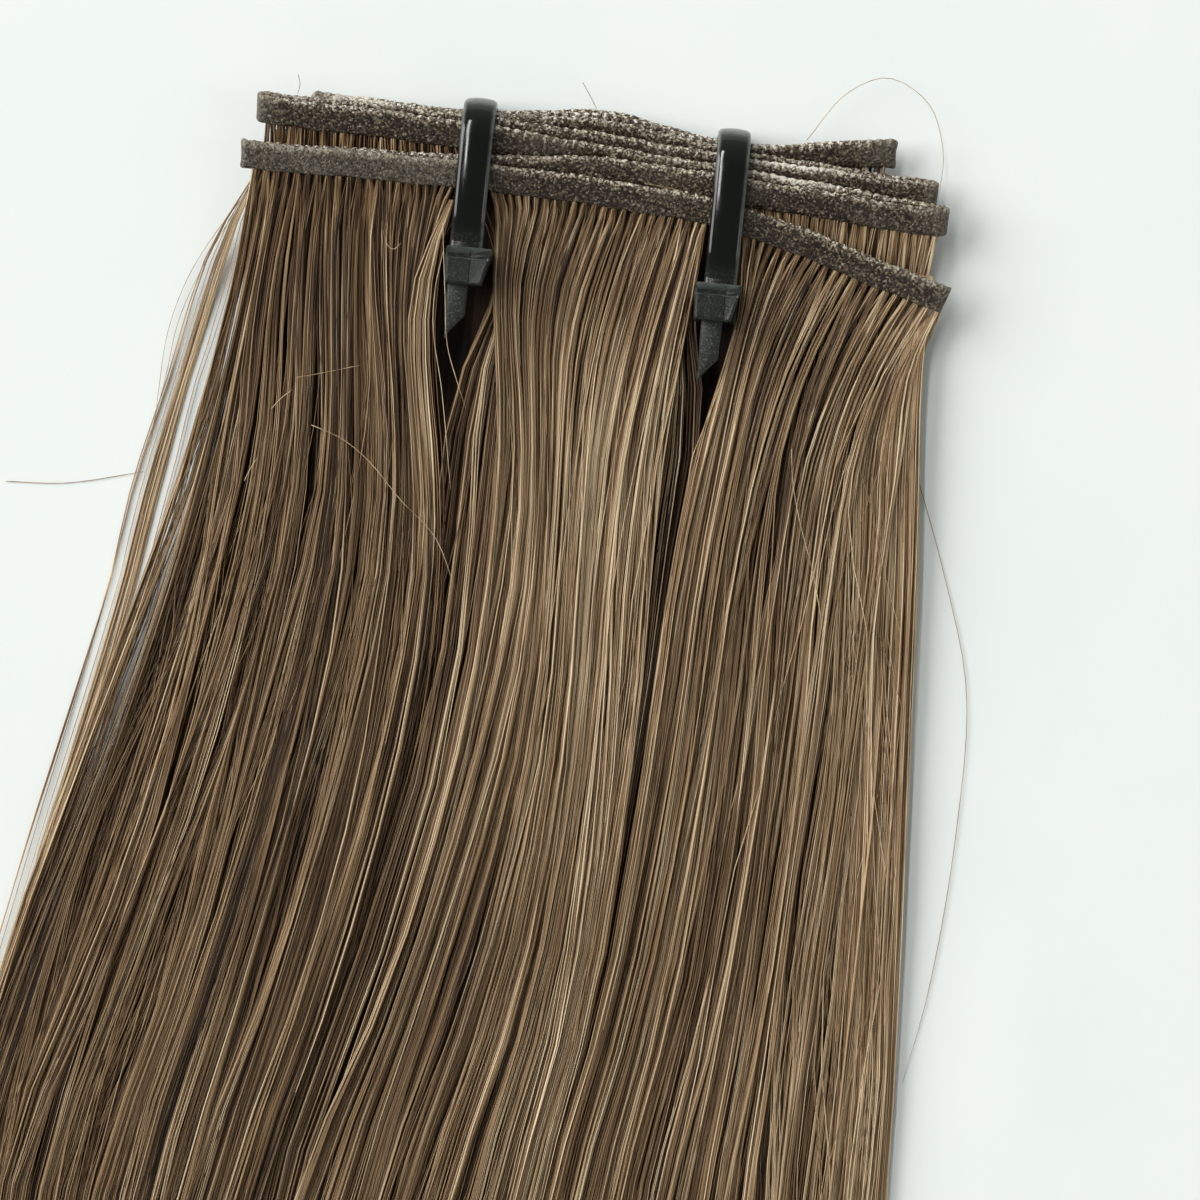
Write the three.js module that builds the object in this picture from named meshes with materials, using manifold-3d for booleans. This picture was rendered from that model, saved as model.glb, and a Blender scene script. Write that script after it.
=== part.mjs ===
import * as THREE from "three";
import { mergeVertices } from "three/addons/utils/BufferGeometryUtils.js";
import Module from "manifold-3d";

// A hair weft: one sewn band with the hair that hangs from it, folded to and fro in seven passes and
// held by two cable ties, lying on its side as it is sold. Millimetres, z up from the floor.
// x runs along the band and y from the hair tips to the band. While the pieces are made, y = 0 is the
// top edge of the front pass and x = 0 its middle; the last lines move the origin under the whole pile.

const GAP = 0.3; // between pieces that touch on the real object

const BAND_HEIGHT = 4.2;
const BAND_THICKNESS = 0.75;
const BAND_CHAMFER = 0.2;
const BAND_LEAN = THREE.MathUtils.degToRad(25); // the passes lean, top edges up
const PASS_PITCH = 1.3; // from one pass to the next, square to the band
const BACK_PASS_Z = 2.9; // middle of the lowest pass above the floor
const PASS_STEPS = 11;
const FOLD_STEPS = 5;

// The passes from the back of the pile to the front: where each one ends, how high its top edge lies at
// both ends, at the ties and midway, and how far its right end rides up on the hair below it.
const PASSES = [
  { left: -38.0, right: 43.3, atLeft: 8.8, atTieLeft: 8.7, atMiddle: 10.4, atTieRight: 7.7, atRight: 10.3, rise: 0 },
  { left: -42.0, right: 43.3, atLeft: 9.0, atTieLeft: 8.5, atMiddle: 9.8, atTieRight: 7.4, atRight: 10.2, rise: 0 },
  { left: -42.0, right: 49.9, atLeft: 8.4, atTieLeft: 8.2, atMiddle: 8.8, atTieRight: 6.5, atRight: 4.9, rise: 0 },
  { left: -49.8, right: 49.9, atLeft: 7.9, atTieLeft: 7.5, atMiddle: 6.8, atTieRight: 5.4, atRight: 4.4, rise: 0 },
  { left: -49.8, right: 51.7, atLeft: 7.2, atTieLeft: 6.3, atMiddle: 5.0, atTieRight: 3.7, atRight: 1.3, rise: 0 },
  { left: -51.0, right: 51.7, atLeft: 0.6, atTieLeft: 1.8, atMiddle: 3.2, atTieRight: 2.2, atRight: 0.5, rise: 0 },
  { left: -51.0, right: 52.5, atLeft: 0.5, atTieLeft: 0.6, atMiddle: 0.1, atTieRight: -1.6, atRight: -10.6, rise: 3.7 },
];

const STRAP_WIDTH = 4.8;
const STRAP_THICKNESS = 1.3;
const STRAP_CHAMFER = 0.25;
const STRAP_FLOOR_BEND = 1.8; // radius of the strap's middle at its two bends on the floor
const STRAP_CREST_BEND = 3.0; // and where it comes over the back of the pile
const HEAD_WIDTH = 7.6;
const HEAD_LENGTH = 5.5; // along the slot
const HEAD_DEPTH = 5.6; // along the neck
const HEAD_ABOVE_SLOT = 2.3; // from the slot's middle to the outer face
const HEAD_CORNER = 1.0;
const HEAD_BEVEL = 0.5;
const SLOT_DROP = 1.5; // the slot's middle below the strap's crest
const TAIL_DROP = 2.6;
const TIES = [
  { name: "tie_left", x: -17.6, back: 10.5, headBack: -11.8, tail: 8 },
  { name: "tie_right", x: 19.6, back: 9.7, headBack: -13.5, tail: 9 },
];

// Cross-sections of the backing that carries the locks: how far down the hair, its two sides, how thick
// it is in the middle, and what part of that is left at the sides.
const HAIR_SECTIONS = [
  { down: 9, left: -51.5, right: 52.5, thick: 4.6, edge: 0.8 },
  { down: 16, left: -51.8, right: 52.2, thick: 4.5, edge: 0.6 },
  { down: 28, left: -53.2, right: 51.2, thick: 4.6, edge: 0.4 },
  { down: 52, left: -57.6, right: 52.4, thick: 4.5, edge: 0.3 },
  { down: 95, left: -68, right: 55, thick: 4.2, edge: 0.3 },
  { down: 143, left: -77, right: 57, thick: 3.6, edge: 0.3 },
  { down: 220, left: -82, right: 58, thick: 2.8, edge: 0.3 },
  { down: 285, left: -78, right: 56, thick: 2.1, edge: 0.35 },
  { down: 328, left: -73, right: 52, thick: 1.4, edge: 0.5 },
];
const ROOT_DOWN = 4; // the front pass's lower edge where the pass runs level
const ROOT_FADE = 70; // below this the droop of the front pass's right end no longer shows
const ROOT_INSET = 0.4; // no hair on the last bit of a pass, where the band turns
const ROOT_HEEL = 2; // the lowest hair comes down to the floor within this length
const ROOT_END = 13; // here the roots have run together
const LOCKS_PER_SECTION = 5; // on each side of a tie
const LOCK_CROWN = 1.5;
const LOCK_SINK = 1.2; // how deep a lock is set in the backing
const LOCK_SEAT = 0.3; // and its sides
const LOCK_UNEVEN = 0.22; // share of a lock's width by which its sides wander
const LOCK_TIP = 350;
const LOCK_STAGGER = 9; // how far the tips differ
const TIP_WIDTH = 0.3; // share of a lock's width left at its tip
const SWAY = 1.3; // the locks bend from side to side in long waves
const SWAY_LENGTH = 210;
const PARTING_DOWN = 15; // the locks are parted widest at the heads of the ties
const PARTING_REACH = 16;
// A thin lock at the far left stays clear of the rest for part of its way.
const LOOSE_LOCK = [
  { down: 6, x: -50.2, z: 4.4, width: 2.2 },
  { down: 14, x: -52.9, z: 2.6, width: 2.0 },
  { down: 23, x: -55.3, z: 1.2, width: 2.0 },
  { down: 34, x: -57.6, z: 0.8, width: 2.0 },
  { down: 48, x: -59.9, z: 0.8, width: 2.2 },
  { down: 67, x: -63.2, z: 0.8, width: 2.4 },
  { down: 82, x: -66.6, z: 0.8, width: 2.6 },
  { down: 105, x: -69.2, z: 0.8, width: 2.4 },
];

const BAND_COLOUR = 0x5a4d42;
const HAIR_COLOUR = 0x6e563f;
const TIE_COLOUR = 0x1c1c1d;

const wasm = await Module();
wasm.setup();

// Reads a table as a smooth curve: the value of one column at a place along another.
function smooth(places, values) {
  const curve = new THREE.CubicInterpolant(Float32Array.from(places), Float32Array.from(values), 1);
  return (place) => curve.evaluate(place)[0];
}

function columnAlong(rows, along, name) {
  return smooth(rows.map((row) => row[along]), rows.map((row) => row[name]));
}

function middleOf(ring) {
  return ring.reduce((sum, p) => sum.add(p), new THREE.Vector3()).divideScalar(ring.length);
}

// The end face of a loft, cut into triangles as seen along the axis that the loft runs nearest to.
function capTriangles(ring, next) {
  const run = middleOf(next).sub(middleOf(ring)).toArray().map(Math.abs);
  const flat = run.indexOf(Math.max(...run));
  const [a, b] = [0, 1, 2].filter((axis) => axis !== flat);
  const outline = ring.map((p) => new THREE.Vector2(p.getComponent(a), p.getComponent(b)));
  const clockwise = THREE.ShapeUtils.isClockWise(outline);
  return THREE.ShapeUtils.triangulateShape(outline, []).map((face) => {
    const turns = THREE.ShapeUtils.isClockWise(face.map((i) => outline[i]));
    return turns === clockwise ? face : [face[0], face[2], face[1]];
  });
}

// A closed solid through a row of rings that all have the same number of points.
function loft(rings) {
  const count = rings[0].length;
  const triangles = [];
  for (let r = 0; r + 1 < rings.length; r++) {
    for (let i = 0; i < count; i++) {
      const a = r * count + i;
      const b = r * count + ((i + 1) % count);
      triangles.push([a, b, b + count], [a, b + count, a + count]);
    }
  }
  const last = (rings.length - 1) * count;
  capTriangles(rings[0], rings[1]).forEach(([a, b, c]) => triangles.push([a, c, b]));
  capTriangles(rings.at(-1), rings.at(-2)).forEach(([a, b, c]) => triangles.push([last + a, last + b, last + c]));
  const points = rings.flat();
  const volume = triangles.reduce((sum, [a, b, c]) => {
    return sum + points[a].dot(new THREE.Vector3().crossVectors(points[b], points[c]));
  }, 0);
  const outward = volume > 0 ? triangles : triangles.map(([a, b, c]) => [a, c, b]);
  return new THREE.BufferGeometry().setFromPoints(points).setIndex(outward.flat());
}

function solid(geometry) {
  geometry.deleteAttribute("normal");
  geometry.deleteAttribute("uv");
  const merged = mergeVertices(geometry, 1e-4);
  return new wasm.Manifold(
    new wasm.Mesh({
      numProp: 3,
      vertProperties: Float32Array.from(merged.attributes.position.array),
      triVerts: Uint32Array.from(merged.index.array),
    }),
  );
}

function mesh(name, body, colour, roughness) {
  const shape = body.getMesh();
  const geometry = new THREE.BufferGeometry();
  geometry.setAttribute("position", new THREE.BufferAttribute(shape.vertProperties, shape.numProp));
  geometry.setIndex(new THREE.BufferAttribute(shape.triVerts, 1));
  geometry.computeVertexNormals();
  const made = new THREE.Mesh(geometry, new THREE.MeshStandardMaterial({ color: colour, roughness }));
  made.name = name;
  return made;
}

// An eight-sided section, a rectangle with its corners taken off, from its middle.
function chamferedSection(width, height, chamfer) {
  const w = width / 2;
  const h = height / 2;
  return [
    new THREE.Vector2(w, -h + chamfer),
    new THREE.Vector2(w, h - chamfer),
    new THREE.Vector2(w - chamfer, h),
    new THREE.Vector2(-w + chamfer, h),
    new THREE.Vector2(-w, h - chamfer),
    new THREE.Vector2(-w, -h + chamfer),
    new THREE.Vector2(-w + chamfer, -h),
    new THREE.Vector2(w - chamfer, -h),
  ];
}

// Sweeps a section along points, its first direction kept as near as it goes to the one given.
function sweep(path, section, upright) {
  const rings = path.map((point, i) => {
    const before = new THREE.Vector3().subVectors(point, path[Math.max(i - 1, 0)]).normalize();
    const after = new THREE.Vector3().subVectors(path[Math.min(i + 1, path.length - 1)], point).normalize();
    const along = before.add(after).normalize();
    const up = upright.clone().addScaledVector(along, -upright.dot(along)).normalize();
    const side = new THREE.Vector3().crossVectors(along, up);
    return section.map((s) => point.clone().addScaledVector(up, s.x).addScaledVector(side, s.y));
  });
  return loft(rings);
}

// The band. Each pass is a level strip whose top edge follows its row of the table, and the passes are
// stacked square to their leaning faces.
const UP_BAND = new THREE.Vector3(0, Math.cos(BAND_LEAN), Math.sin(BAND_LEAN));
const [tieLeft, tieRight] = TIES;
const middleX = (tieLeft.x + tieRight.x) / 2;
const topEdges = PASSES.map((pass) =>
  smooth(
    [pass.left, tieLeft.x, middleX, tieRight.x, pass.right],
    [pass.atLeft, pass.atTieLeft, pass.atMiddle, pass.atTieRight, pass.atRight],
  ),
);

// The middle of the band on one pass.
function onPass(index, x) {
  const pass = PASSES[index];
  const top = topEdges[index](x);
  const stacked = index * PASS_PITCH + (top - topEdges[0](x)) * Math.sin(BAND_LEAN);
  const rise = pass.rise * THREE.MathUtils.smoothstep(x, tieRight.x, pass.right);
  return new THREE.Vector3(
    x,
    top - (BAND_HEIGHT / 2) * Math.cos(BAND_LEAN),
    BACK_PASS_Z + stacked / Math.cos(BAND_LEAN) + rise,
  );
}

function bandPath() {
  const points = [];
  for (let index = PASSES.length - 1; index >= 0; index--) {
    const { left, right } = PASSES[index];
    const leftward = (PASSES.length - 1 - index) % 2 === 0;
    const [from, to] = leftward ? [right, left] : [left, right];
    for (let step = 0; step <= PASS_STEPS; step++) {
      points.push(onPass(index, THREE.MathUtils.lerp(from, to, step / PASS_STEPS)));
    }
    if (index === 0) break;
    const start = onPass(index, to);
    const end = onPass(index - 1, to);
    const reach = (leftward ? -1 : 1) * (PASS_PITCH / 2);
    for (let step = 1; step < FOLD_STEPS; step++) {
      const turn = (Math.PI * step) / FOLD_STEPS;
      const point = start.clone().lerp(end, (1 - Math.cos(turn)) / 2);
      point.x += reach * Math.sin(turn);
      points.push(point);
    }
  }
  return points;
}

function band(extra) {
  const section = chamferedSection(BAND_HEIGHT + 2 * extra, BAND_THICKNESS + 2 * extra, BAND_CHAMFER);
  return solid(sweep(bandPath(), section, UP_BAND));
}

// A cable tie. Its strap leaves the head downwards through the hair, runs back under the pile, comes
// over it from behind and goes through the slot of the head, with the tail beyond.
function tie({ x, back, headBack, tail }, extra) {
  const half = STRAP_THICKNESS / 2;
  const corner = (BAND_HEIGHT * Math.sin(BAND_LEAN) + BAND_THICKNESS * Math.cos(BAND_LEAN)) / 2;
  const pileTop = Math.max(...PASSES.map((pass, index) => onPass(index, x).z + corner));
  const crest = pileTop + GAP + half;
  const slot = crest - SLOT_DROP;
  const neck = headBack - half - HEAD_BEVEL;
  const headFront = headBack - HEAD_LENGTH;
  const headTop = slot + HEAD_ABOVE_SLOT;
  const rear = back - half;

  const route = new THREE.Path()
    .moveTo(neck, headTop - HEAD_DEPTH + 1)
    .lineTo(neck, half + STRAP_FLOOR_BEND)
    .absarc(neck + STRAP_FLOOR_BEND, half + STRAP_FLOOR_BEND, STRAP_FLOOR_BEND, Math.PI, 1.5 * Math.PI)
    .lineTo(rear - STRAP_FLOOR_BEND, half)
    .absarc(rear - STRAP_FLOOR_BEND, half + STRAP_FLOOR_BEND, STRAP_FLOOR_BEND, -0.5 * Math.PI, 0)
    .lineTo(rear, crest - STRAP_CREST_BEND)
    .absarc(rear - STRAP_CREST_BEND, crest - STRAP_CREST_BEND, STRAP_CREST_BEND, 0, 0.5 * Math.PI)
    .lineTo(topEdges.at(-1)(x) - 0.5, crest)
    .lineTo(headBack + 1.5, slot)
    .lineTo(headFront - 0.5, slot)
    .quadraticCurveTo(headFront - 0.6 * tail, slot, headFront - tail, slot - TAIL_DROP);
  const path = route.getPoints(4).map((p) => new THREE.Vector3(x, p.x, p.y));
  const repeats = path.filter((p, i) => i === 0 || p.distanceTo(path[i - 1]) > 1e-3);
  const section = chamferedSection(STRAP_WIDTH + 2 * extra, STRAP_THICKNESS + 2 * extra, STRAP_CHAMFER);
  const strap = solid(sweep(repeats, section, new THREE.Vector3(1, 0, 0)));

  const w = HEAD_WIDTH / 2 + extra - HEAD_BEVEL;
  const l = HEAD_LENGTH / 2 + extra - HEAD_BEVEL;
  const r = HEAD_CORNER - HEAD_BEVEL;
  const outline = new THREE.Shape()
    .moveTo(-w + r, -l)
    .lineTo(w - r, -l)
    .absarc(w - r, -l + r, r, -0.5 * Math.PI, 0)
    .lineTo(w, l - r)
    .absarc(w - r, l - r, r, 0, 0.5 * Math.PI)
    .lineTo(-w + r, l)
    .absarc(-w + r, l - r, r, 0.5 * Math.PI, Math.PI)
    .lineTo(-w, -l + r)
    .absarc(-w + r, -l + r, r, Math.PI, 1.5 * Math.PI);
  const block = new THREE.ExtrudeGeometry(outline, {
    depth: HEAD_DEPTH + 2 * extra - 2 * HEAD_BEVEL,
    curveSegments: 2,
    bevelSize: HEAD_BEVEL,
    bevelThickness: HEAD_BEVEL,
    bevelSegments: 2,
  });
  const middleY = headBack - HEAD_LENGTH / 2;
  block.translate(x, middleY, headTop - HEAD_DEPTH - extra + HEAD_BEVEL);
  if (extra > 0) return solid(block).add(strap);
  const hole = new THREE.BoxGeometry(STRAP_WIDTH + 2 * GAP, HEAD_LENGTH + 2, STRAP_THICKNESS + 2 * GAP);
  hole.translate(x, middleY, slot);
  return solid(block).subtract(solid(hole)).add(strap);
}

// The hair. Across the fall, share 0 is its left side and share 1 its right.
const hairLeft = columnAlong(HAIR_SECTIONS, "down", "left");
const hairRight = columnAlong(HAIR_SECTIONS, "down", "right");
const hairThick = columnAlong(HAIR_SECTIONS, "down", "thick");
const hairEdge = columnAlong(HAIR_SECTIONS, "down", "edge");

// The point just below the lower edge of one pass, where its hair leaves the band.
function root(index, share) {
  const { left, right } = PASSES[index];
  const x = THREE.MathUtils.lerp(left + ROOT_INSET, right - ROOT_INSET, share);
  return onPass(index, x).addScaledVector(UP_BAND, -BAND_HEIGHT / 2 - GAP);
}

// A point on the backing's top, at a distance down the hair.
function onBacking(share, down) {
  const droop = -root(PASSES.length - 1, share).y - ROOT_DOWN;
  const side = Math.abs(2 * share - 1) ** 3;
  const sway = SWAY * THREE.MathUtils.smoothstep(down, 20, 60);
  const wave = sway * Math.sin((2 * Math.PI * down) / SWAY_LENGTH + 7 * share);
  return new THREE.Vector3(
    THREE.MathUtils.lerp(hairLeft(down), hairRight(down), share) + wave,
    -down - droop * Math.max(0, 1 - down / ROOT_FADE),
    hairThick(down) * THREE.MathUtils.lerp(1, hairEdge(down), side),
  );
}

// The shares at which one lock ends and the next begins, a few locks on each side of a tie.
function lockEdges() {
  const { left, right } = PASSES.at(-1);
  const shareOf = (x) => (x - left) / (right - left);
  const ends = [0, shareOf(tieLeft.x), shareOf(tieRight.x), 1];
  const edges = [0];
  for (let section = 0; section < 3; section++) {
    for (let i = 1; i <= LOCKS_PER_SECTION; i++) {
      const wander = i < LOCKS_PER_SECTION ? LOCK_UNEVEN * Math.sin(2.4 * edges.length) : 0;
      edges.push(THREE.MathUtils.lerp(ends[section], ends[section + 1], (i + wander) / LOCKS_PER_SECTION));
    }
  }
  return edges;
}

// The backing lies flat on the floor, and near the band it is drawn up to the roots on every pass.
function backing() {
  const edges = lockEdges();
  const fall = HAIR_SECTIONS.map(({ down }) => {
    const top = edges.map((share) => onBacking(share, down));
    return [...top, top.at(-1).clone().setZ(0), top[0].clone().setZ(0)];
  });
  const drawn = edges.map((share) => {
    const roots = PASSES.map((_, index) => root(index, share));
    const heel = roots[0].clone().add(new THREE.Vector3(0, -ROOT_HEEL, 0)).setZ(GAP);
    const end = onBacking(share, ROOT_END);
    end.z -= LOCK_SEAT;
    return [heel, ...roots, end, end.clone().setZ(GAP)];
  });
  return solid(loft(fall)).add(solid(loft(drawn)));
}

// A lock between two shares of the fall. A side next to a tie is drawn away from the tie's head.
function lock(from, to, fromTie, toTie, tip) {
  const downs = [ROOT_DOWN + 1, ...HAIR_SECTIONS.map((section) => section.down), tip];
  const rings = downs.map((down) => {
    const parting = (HEAD_WIDTH / 2) * Math.max(0, 1 - Math.abs(down - PARTING_DOWN) / PARTING_REACH);
    const left = onBacking(from, down);
    const right = onBacking(to, down);
    left.x += fromTie ? parting : 0;
    right.x -= toTie ? parting : 0;
    const atTip = down === tip;
    const spread = atTip ? TIP_WIDTH : 1;
    const crown = LOCK_CROWN * (atTip ? 0.2 : Math.min(1, hairThick(down) / 2.4));
    const arch = [0, 0.25, 0.5, 0.75, 1].map((t) => {
      const point = left.clone().lerp(right, 0.5 - (spread * Math.cos(Math.PI * t)) / 2);
      point.z = atTip ? 0.3 : point.z - LOCK_SEAT;
      point.z += crown * Math.sin(Math.PI * t);
      return point;
    });
    const under = [0.6, 0.4].map((t) => left.clone().lerp(right, t));
    under.forEach((point) => point.setZ(atTip ? 0.1 : Math.max(0.1, point.z - LOCK_SINK)));
    return [...arch, ...under];
  });
  return solid(loft(rings));
}

function looseLock() {
  const rings = LOOSE_LOCK.map(({ down, x, z, width }) =>
    [0, 1, 2, 3, 4, 5].map((i) => {
      const turn = (Math.PI * i) / 3;
      return new THREE.Vector3(x + (width / 2) * Math.cos(turn), -down, z + 0.7 * Math.sin(turn));
    }),
  );
  return solid(loft(rings));
}

function hair() {
  const edges = lockEdges();
  let body = backing().add(looseLock());
  for (let i = 0; i + 1 < edges.length; i++) {
    const besideLeft = i === LOCKS_PER_SECTION || i === 2 * LOCKS_PER_SECTION;
    const besideRight = i + 1 === LOCKS_PER_SECTION || i + 1 === 2 * LOCKS_PER_SECTION;
    const tip = LOCK_TIP + LOCK_STAGGER * Math.sin(2.4 * i);
    body = body.add(lock(edges[i], edges[i + 1], besideLeft, besideRight, tip));
  }
  return TIES.reduce((left, row) => left.subtract(tie(row, GAP)), body.subtract(band(GAP)));
}

const weft = new THREE.Group();
weft.add(mesh("weft_band", band(0), BAND_COLOUR, 0.35));
weft.add(mesh("hair", hair(), HAIR_COLOUR, 0.5));
for (const row of TIES) weft.add(mesh(row.name, tie(row, 0), TIE_COLOUR, 0.4));

// The origin lies on the floor under the middle of the box round everything.
const box = new THREE.Box3().setFromObject(weft);
const centre = box.getCenter(new THREE.Vector3());
weft.position.set(-centre.x, -centre.y, -box.min.z);
export default weft;
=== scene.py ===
import math

import bmesh
import bpy
import numpy as np
from mathutils import Matrix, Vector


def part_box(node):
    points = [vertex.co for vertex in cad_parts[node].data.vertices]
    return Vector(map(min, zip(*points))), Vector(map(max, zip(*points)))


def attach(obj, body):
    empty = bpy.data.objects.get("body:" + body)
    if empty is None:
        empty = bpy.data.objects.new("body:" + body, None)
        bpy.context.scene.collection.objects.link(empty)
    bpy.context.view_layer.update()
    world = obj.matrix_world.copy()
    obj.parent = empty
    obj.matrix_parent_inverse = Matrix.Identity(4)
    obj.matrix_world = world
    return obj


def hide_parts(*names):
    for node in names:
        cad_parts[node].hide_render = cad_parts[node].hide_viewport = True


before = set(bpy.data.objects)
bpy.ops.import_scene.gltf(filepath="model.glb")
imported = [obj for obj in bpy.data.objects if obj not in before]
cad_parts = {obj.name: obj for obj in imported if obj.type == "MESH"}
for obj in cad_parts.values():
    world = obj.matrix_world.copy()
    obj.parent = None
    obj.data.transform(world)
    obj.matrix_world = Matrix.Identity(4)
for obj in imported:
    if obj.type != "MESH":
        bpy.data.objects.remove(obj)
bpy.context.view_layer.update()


# The weft band is the sewn strip that carries the hair: rows of machine stitches under a clear,
# speckled coat. It is one strip, folded to and fro in seven passes, with a loop at each fold.
MM = 0.001
BAND_HEIGHT = 4.2
BAND_THICKNESS = 0.85
BAND_TOP = BAND_HEIGHT / 2  # from the middle of the strip
BAND_LEAN = math.radians(25)
BAND_STEP = 0.42  # along the strip, from one ring of the mesh to the next
UP_BAND = np.array([0.0, math.cos(BAND_LEAN), math.sin(BAND_LEAN)])
PASS_PITCH = 1.3
BACK_PASS_Z = 2.9
FOLD_STEPS = 12
STITCH = 1.53
STITCH_RELIEF = 0.09
STITCH_ROUND = 0.6  # the lower, the fuller each stitch
EDGE_TOOTH = 1.4  # from one stitch to the next along the top edge
EDGE_RISE = 0.1
EDGE_TEETH = 0.5  # how far down from the top edge its teeth reach
EDGE_HIGHLIGHT = (1.0, 0.1)  # down from the top edge: where its painted highlight starts, and where it is full
FOLD_FADE = 2.6  # the coat has crazed and gone pale this far from a fold
TIE_LEFT_X = -17.6
TIE_RIGHT_X = 19.6
TIE_LEFT_BACK = 10.5
MIDDLE_X = (TIE_LEFT_X + TIE_RIGHT_X) / 2
DRY_LEFT = 0.75  # how dry the coat is on the left of the front pass
DRY_ENDS = (TIE_LEFT_X + 4, TIE_LEFT_X - 6)  # where that starts, and where it is full


def table(names, rows):
    """Rows of values by the names of their columns."""
    return [dict(zip(names.split(), row)) for row in rows]


# From the back of the pile to the front: the two ends of each pass, its top edge at the left end, the left
# tie, midway, the right tie and the right end, how far its right end rides up on the hair below, and how
# plainly the stitches break the painted highlight along its top edge into teeth.
PASSES = table(
    "left right tops rise toothed",
    [
        (-38.0, 42.3, (8.8, 8.7, 10.4, 7.7, 10.3), 0.0, 1.0),
        (-41.2, 42.3, (9.0, 8.5, 9.8, 7.4, 10.2), 0.0, 1.0),
        (-41.2, 48.9, (8.4, 8.2, 8.8, 6.5, 4.9), 0.0, 0.35),
        (-48.8, 48.9, (7.9, 7.5, 6.8, 5.4, 4.4), 0.0, 0.35),
        (-48.8, 50.7, (7.2, 6.3, 5.0, 3.7, 1.3), 0.0, 0.35),
        (-50.4, 50.7, (0.6, 1.8, 3.2, 2.2, 0.5), 0.0, 0.35),
        (-50.4, 52.5, (0.5, 0.6, 0.1, -1.6, -10.6), 3.7, 0.35),
    ],
)
FRONT = len(PASSES) - 1
# Where a painted highlight stands bright on the top edges of some passes.
HIGHLIGHT_SPOTS = table("passes x reach bright", [((3, 4), 29.0, 7.0, 1.5), ((1, 2), -35.5, 4.5, 1.3)])
# The strip doesn't run quite straight: waves along it, and how far each turns in a mm.
WAVERS = table("height turn start", [(0.09, 0.37, 0.0), (0.063, 0.91, 1.0)])

# Sizes are in mm from the middle of the front pass's top edge. The left tie fixes its place in the frame.
tie_low, tie_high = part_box("tie_left")
ORIGIN = np.array([(tie_low.x + tie_high.x) / 2 / MM - TIE_LEFT_X, tie_high.y / MM - TIE_LEFT_BACK, 0.0])


def row_frame(points):
    """Points in mm from the front pass, as metres in the row frame."""
    return (np.asarray(points, float) + ORIGIN) * MM


def smooth(places, values):
    """A smooth curve through a short table, level beyond its ends."""
    places = np.array(places, float)
    values = np.array(values, float)
    slopes = np.diff(values) / np.diff(places)
    slopes = np.concatenate([slopes[:1], (slopes[:-1] + slopes[1:]) / 2, slopes[-1:]])

    def curve(place):
        place = np.clip(place, places[0], places[-1])
        left = np.clip(np.searchsorted(places, place, side="right") - 1, 0, len(places) - 2)
        step = places[left + 1] - places[left]
        t = (place - places[left]) / step
        start = (1 + 2 * t) * (1 - t) ** 2 * values[left] + t * (1 - t) ** 2 * step * slopes[left]
        end = t**2 * (3 - 2 * t) * values[left + 1] + t**2 * (t - 1) * step * slopes[left + 1]
        return start + end

    return curve


def ease(start, end, value):
    """Goes smoothly from 0 at the start to 1 at the end, whichever of the two is higher."""
    t = np.clip((value - start) / (end - start), 0, 1)
    return t * t * (3 - 2 * t)


def hump(middle, width, value):
    """Falls smoothly from 1 in the middle to nothing on both sides."""
    return np.exp(-(((value - middle) / width) ** 2))


top_edges = [smooth([p["left"], TIE_LEFT_X, MIDDLE_X, TIE_RIGHT_X, p["right"]], p["tops"]) for p in PASSES]


def on_pass(index, x):
    """The middle of the band on one pass, at each x."""
    top = top_edges[index](x)
    stacked = index * PASS_PITCH + (top - top_edges[0](x)) * math.sin(BAND_LEAN)
    rise = PASSES[index]["rise"] * ease(TIE_RIGHT_X, PASSES[index]["right"], x)
    y = top - BAND_TOP * math.cos(BAND_LEAN)
    z = BACK_PASS_Z + stacked / math.cos(BAND_LEAN) + rise
    return np.stack([x, y, z], axis=-1)


def band_path():
    """Points along the strip from its free front end to its back end. For each of them: how near it is to a
    fold, how bright the painted highlight on its top edge is, and how toothed that edge."""
    points = []
    marks = []
    for index in reversed(range(len(PASSES))):
        row = PASSES[index]
        left, right = row["left"], row["right"]
        leftward = (FRONT - index) % 2 == 0
        start, end = (right, left) if leftward else (left, right)
        x = np.linspace(start, end, round((right - left) / BAND_STEP))
        points.append(on_pass(index, x))
        worn = DRY_LEFT * ease(*DRY_ENDS, x) if index == FRONT else 0
        pale = np.maximum(np.exp(-np.minimum(x - left, right - x) / FOLD_FADE), worn)
        painted_glint = np.zeros_like(x)
        for spot in HIGHLIGHT_SPOTS:
            if index in spot["passes"]:
                painted_glint += spot["bright"] * hump(spot["x"], spot["reach"], x)
        marks.append(np.stack([pale, painted_glint, np.full_like(x, row["toothed"])]))
        if index > 0:
            turn = np.linspace(0, math.pi, FOLD_STEPS + 2)[1:-1, None]
            here = points[-1][-1]
            there = on_pass(index - 1, np.array([end]))[0]
            bend = here + (there - here) * (1 - np.cos(turn)) / 2
            bend[:, 0] += (-1 if leftward else 1) * PASS_PITCH / 2 * np.sin(turn[:, 0])
            points.append(bend)
            marks.append(np.tile([[1.0], [0.0], [0.0]], FOLD_STEPS))
    return np.concatenate(points), *np.concatenate(marks, axis=1)


def stadium(height, thickness, round_steps, face_steps):
    """A section with round ends, as (up, side) pairs from its middle."""
    turns = np.linspace(0, math.pi, round_steps)
    half = thickness / 2
    reach = height / 2 - half
    top = np.stack([reach + half * np.sin(turns), half * np.cos(turns)], axis=1)
    level = np.linspace(reach, -reach, face_steps + 2)[1:-1]
    back = np.stack([level, np.full_like(level, -half)], axis=1)
    return np.concatenate([top, back, -top, -back])


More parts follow.
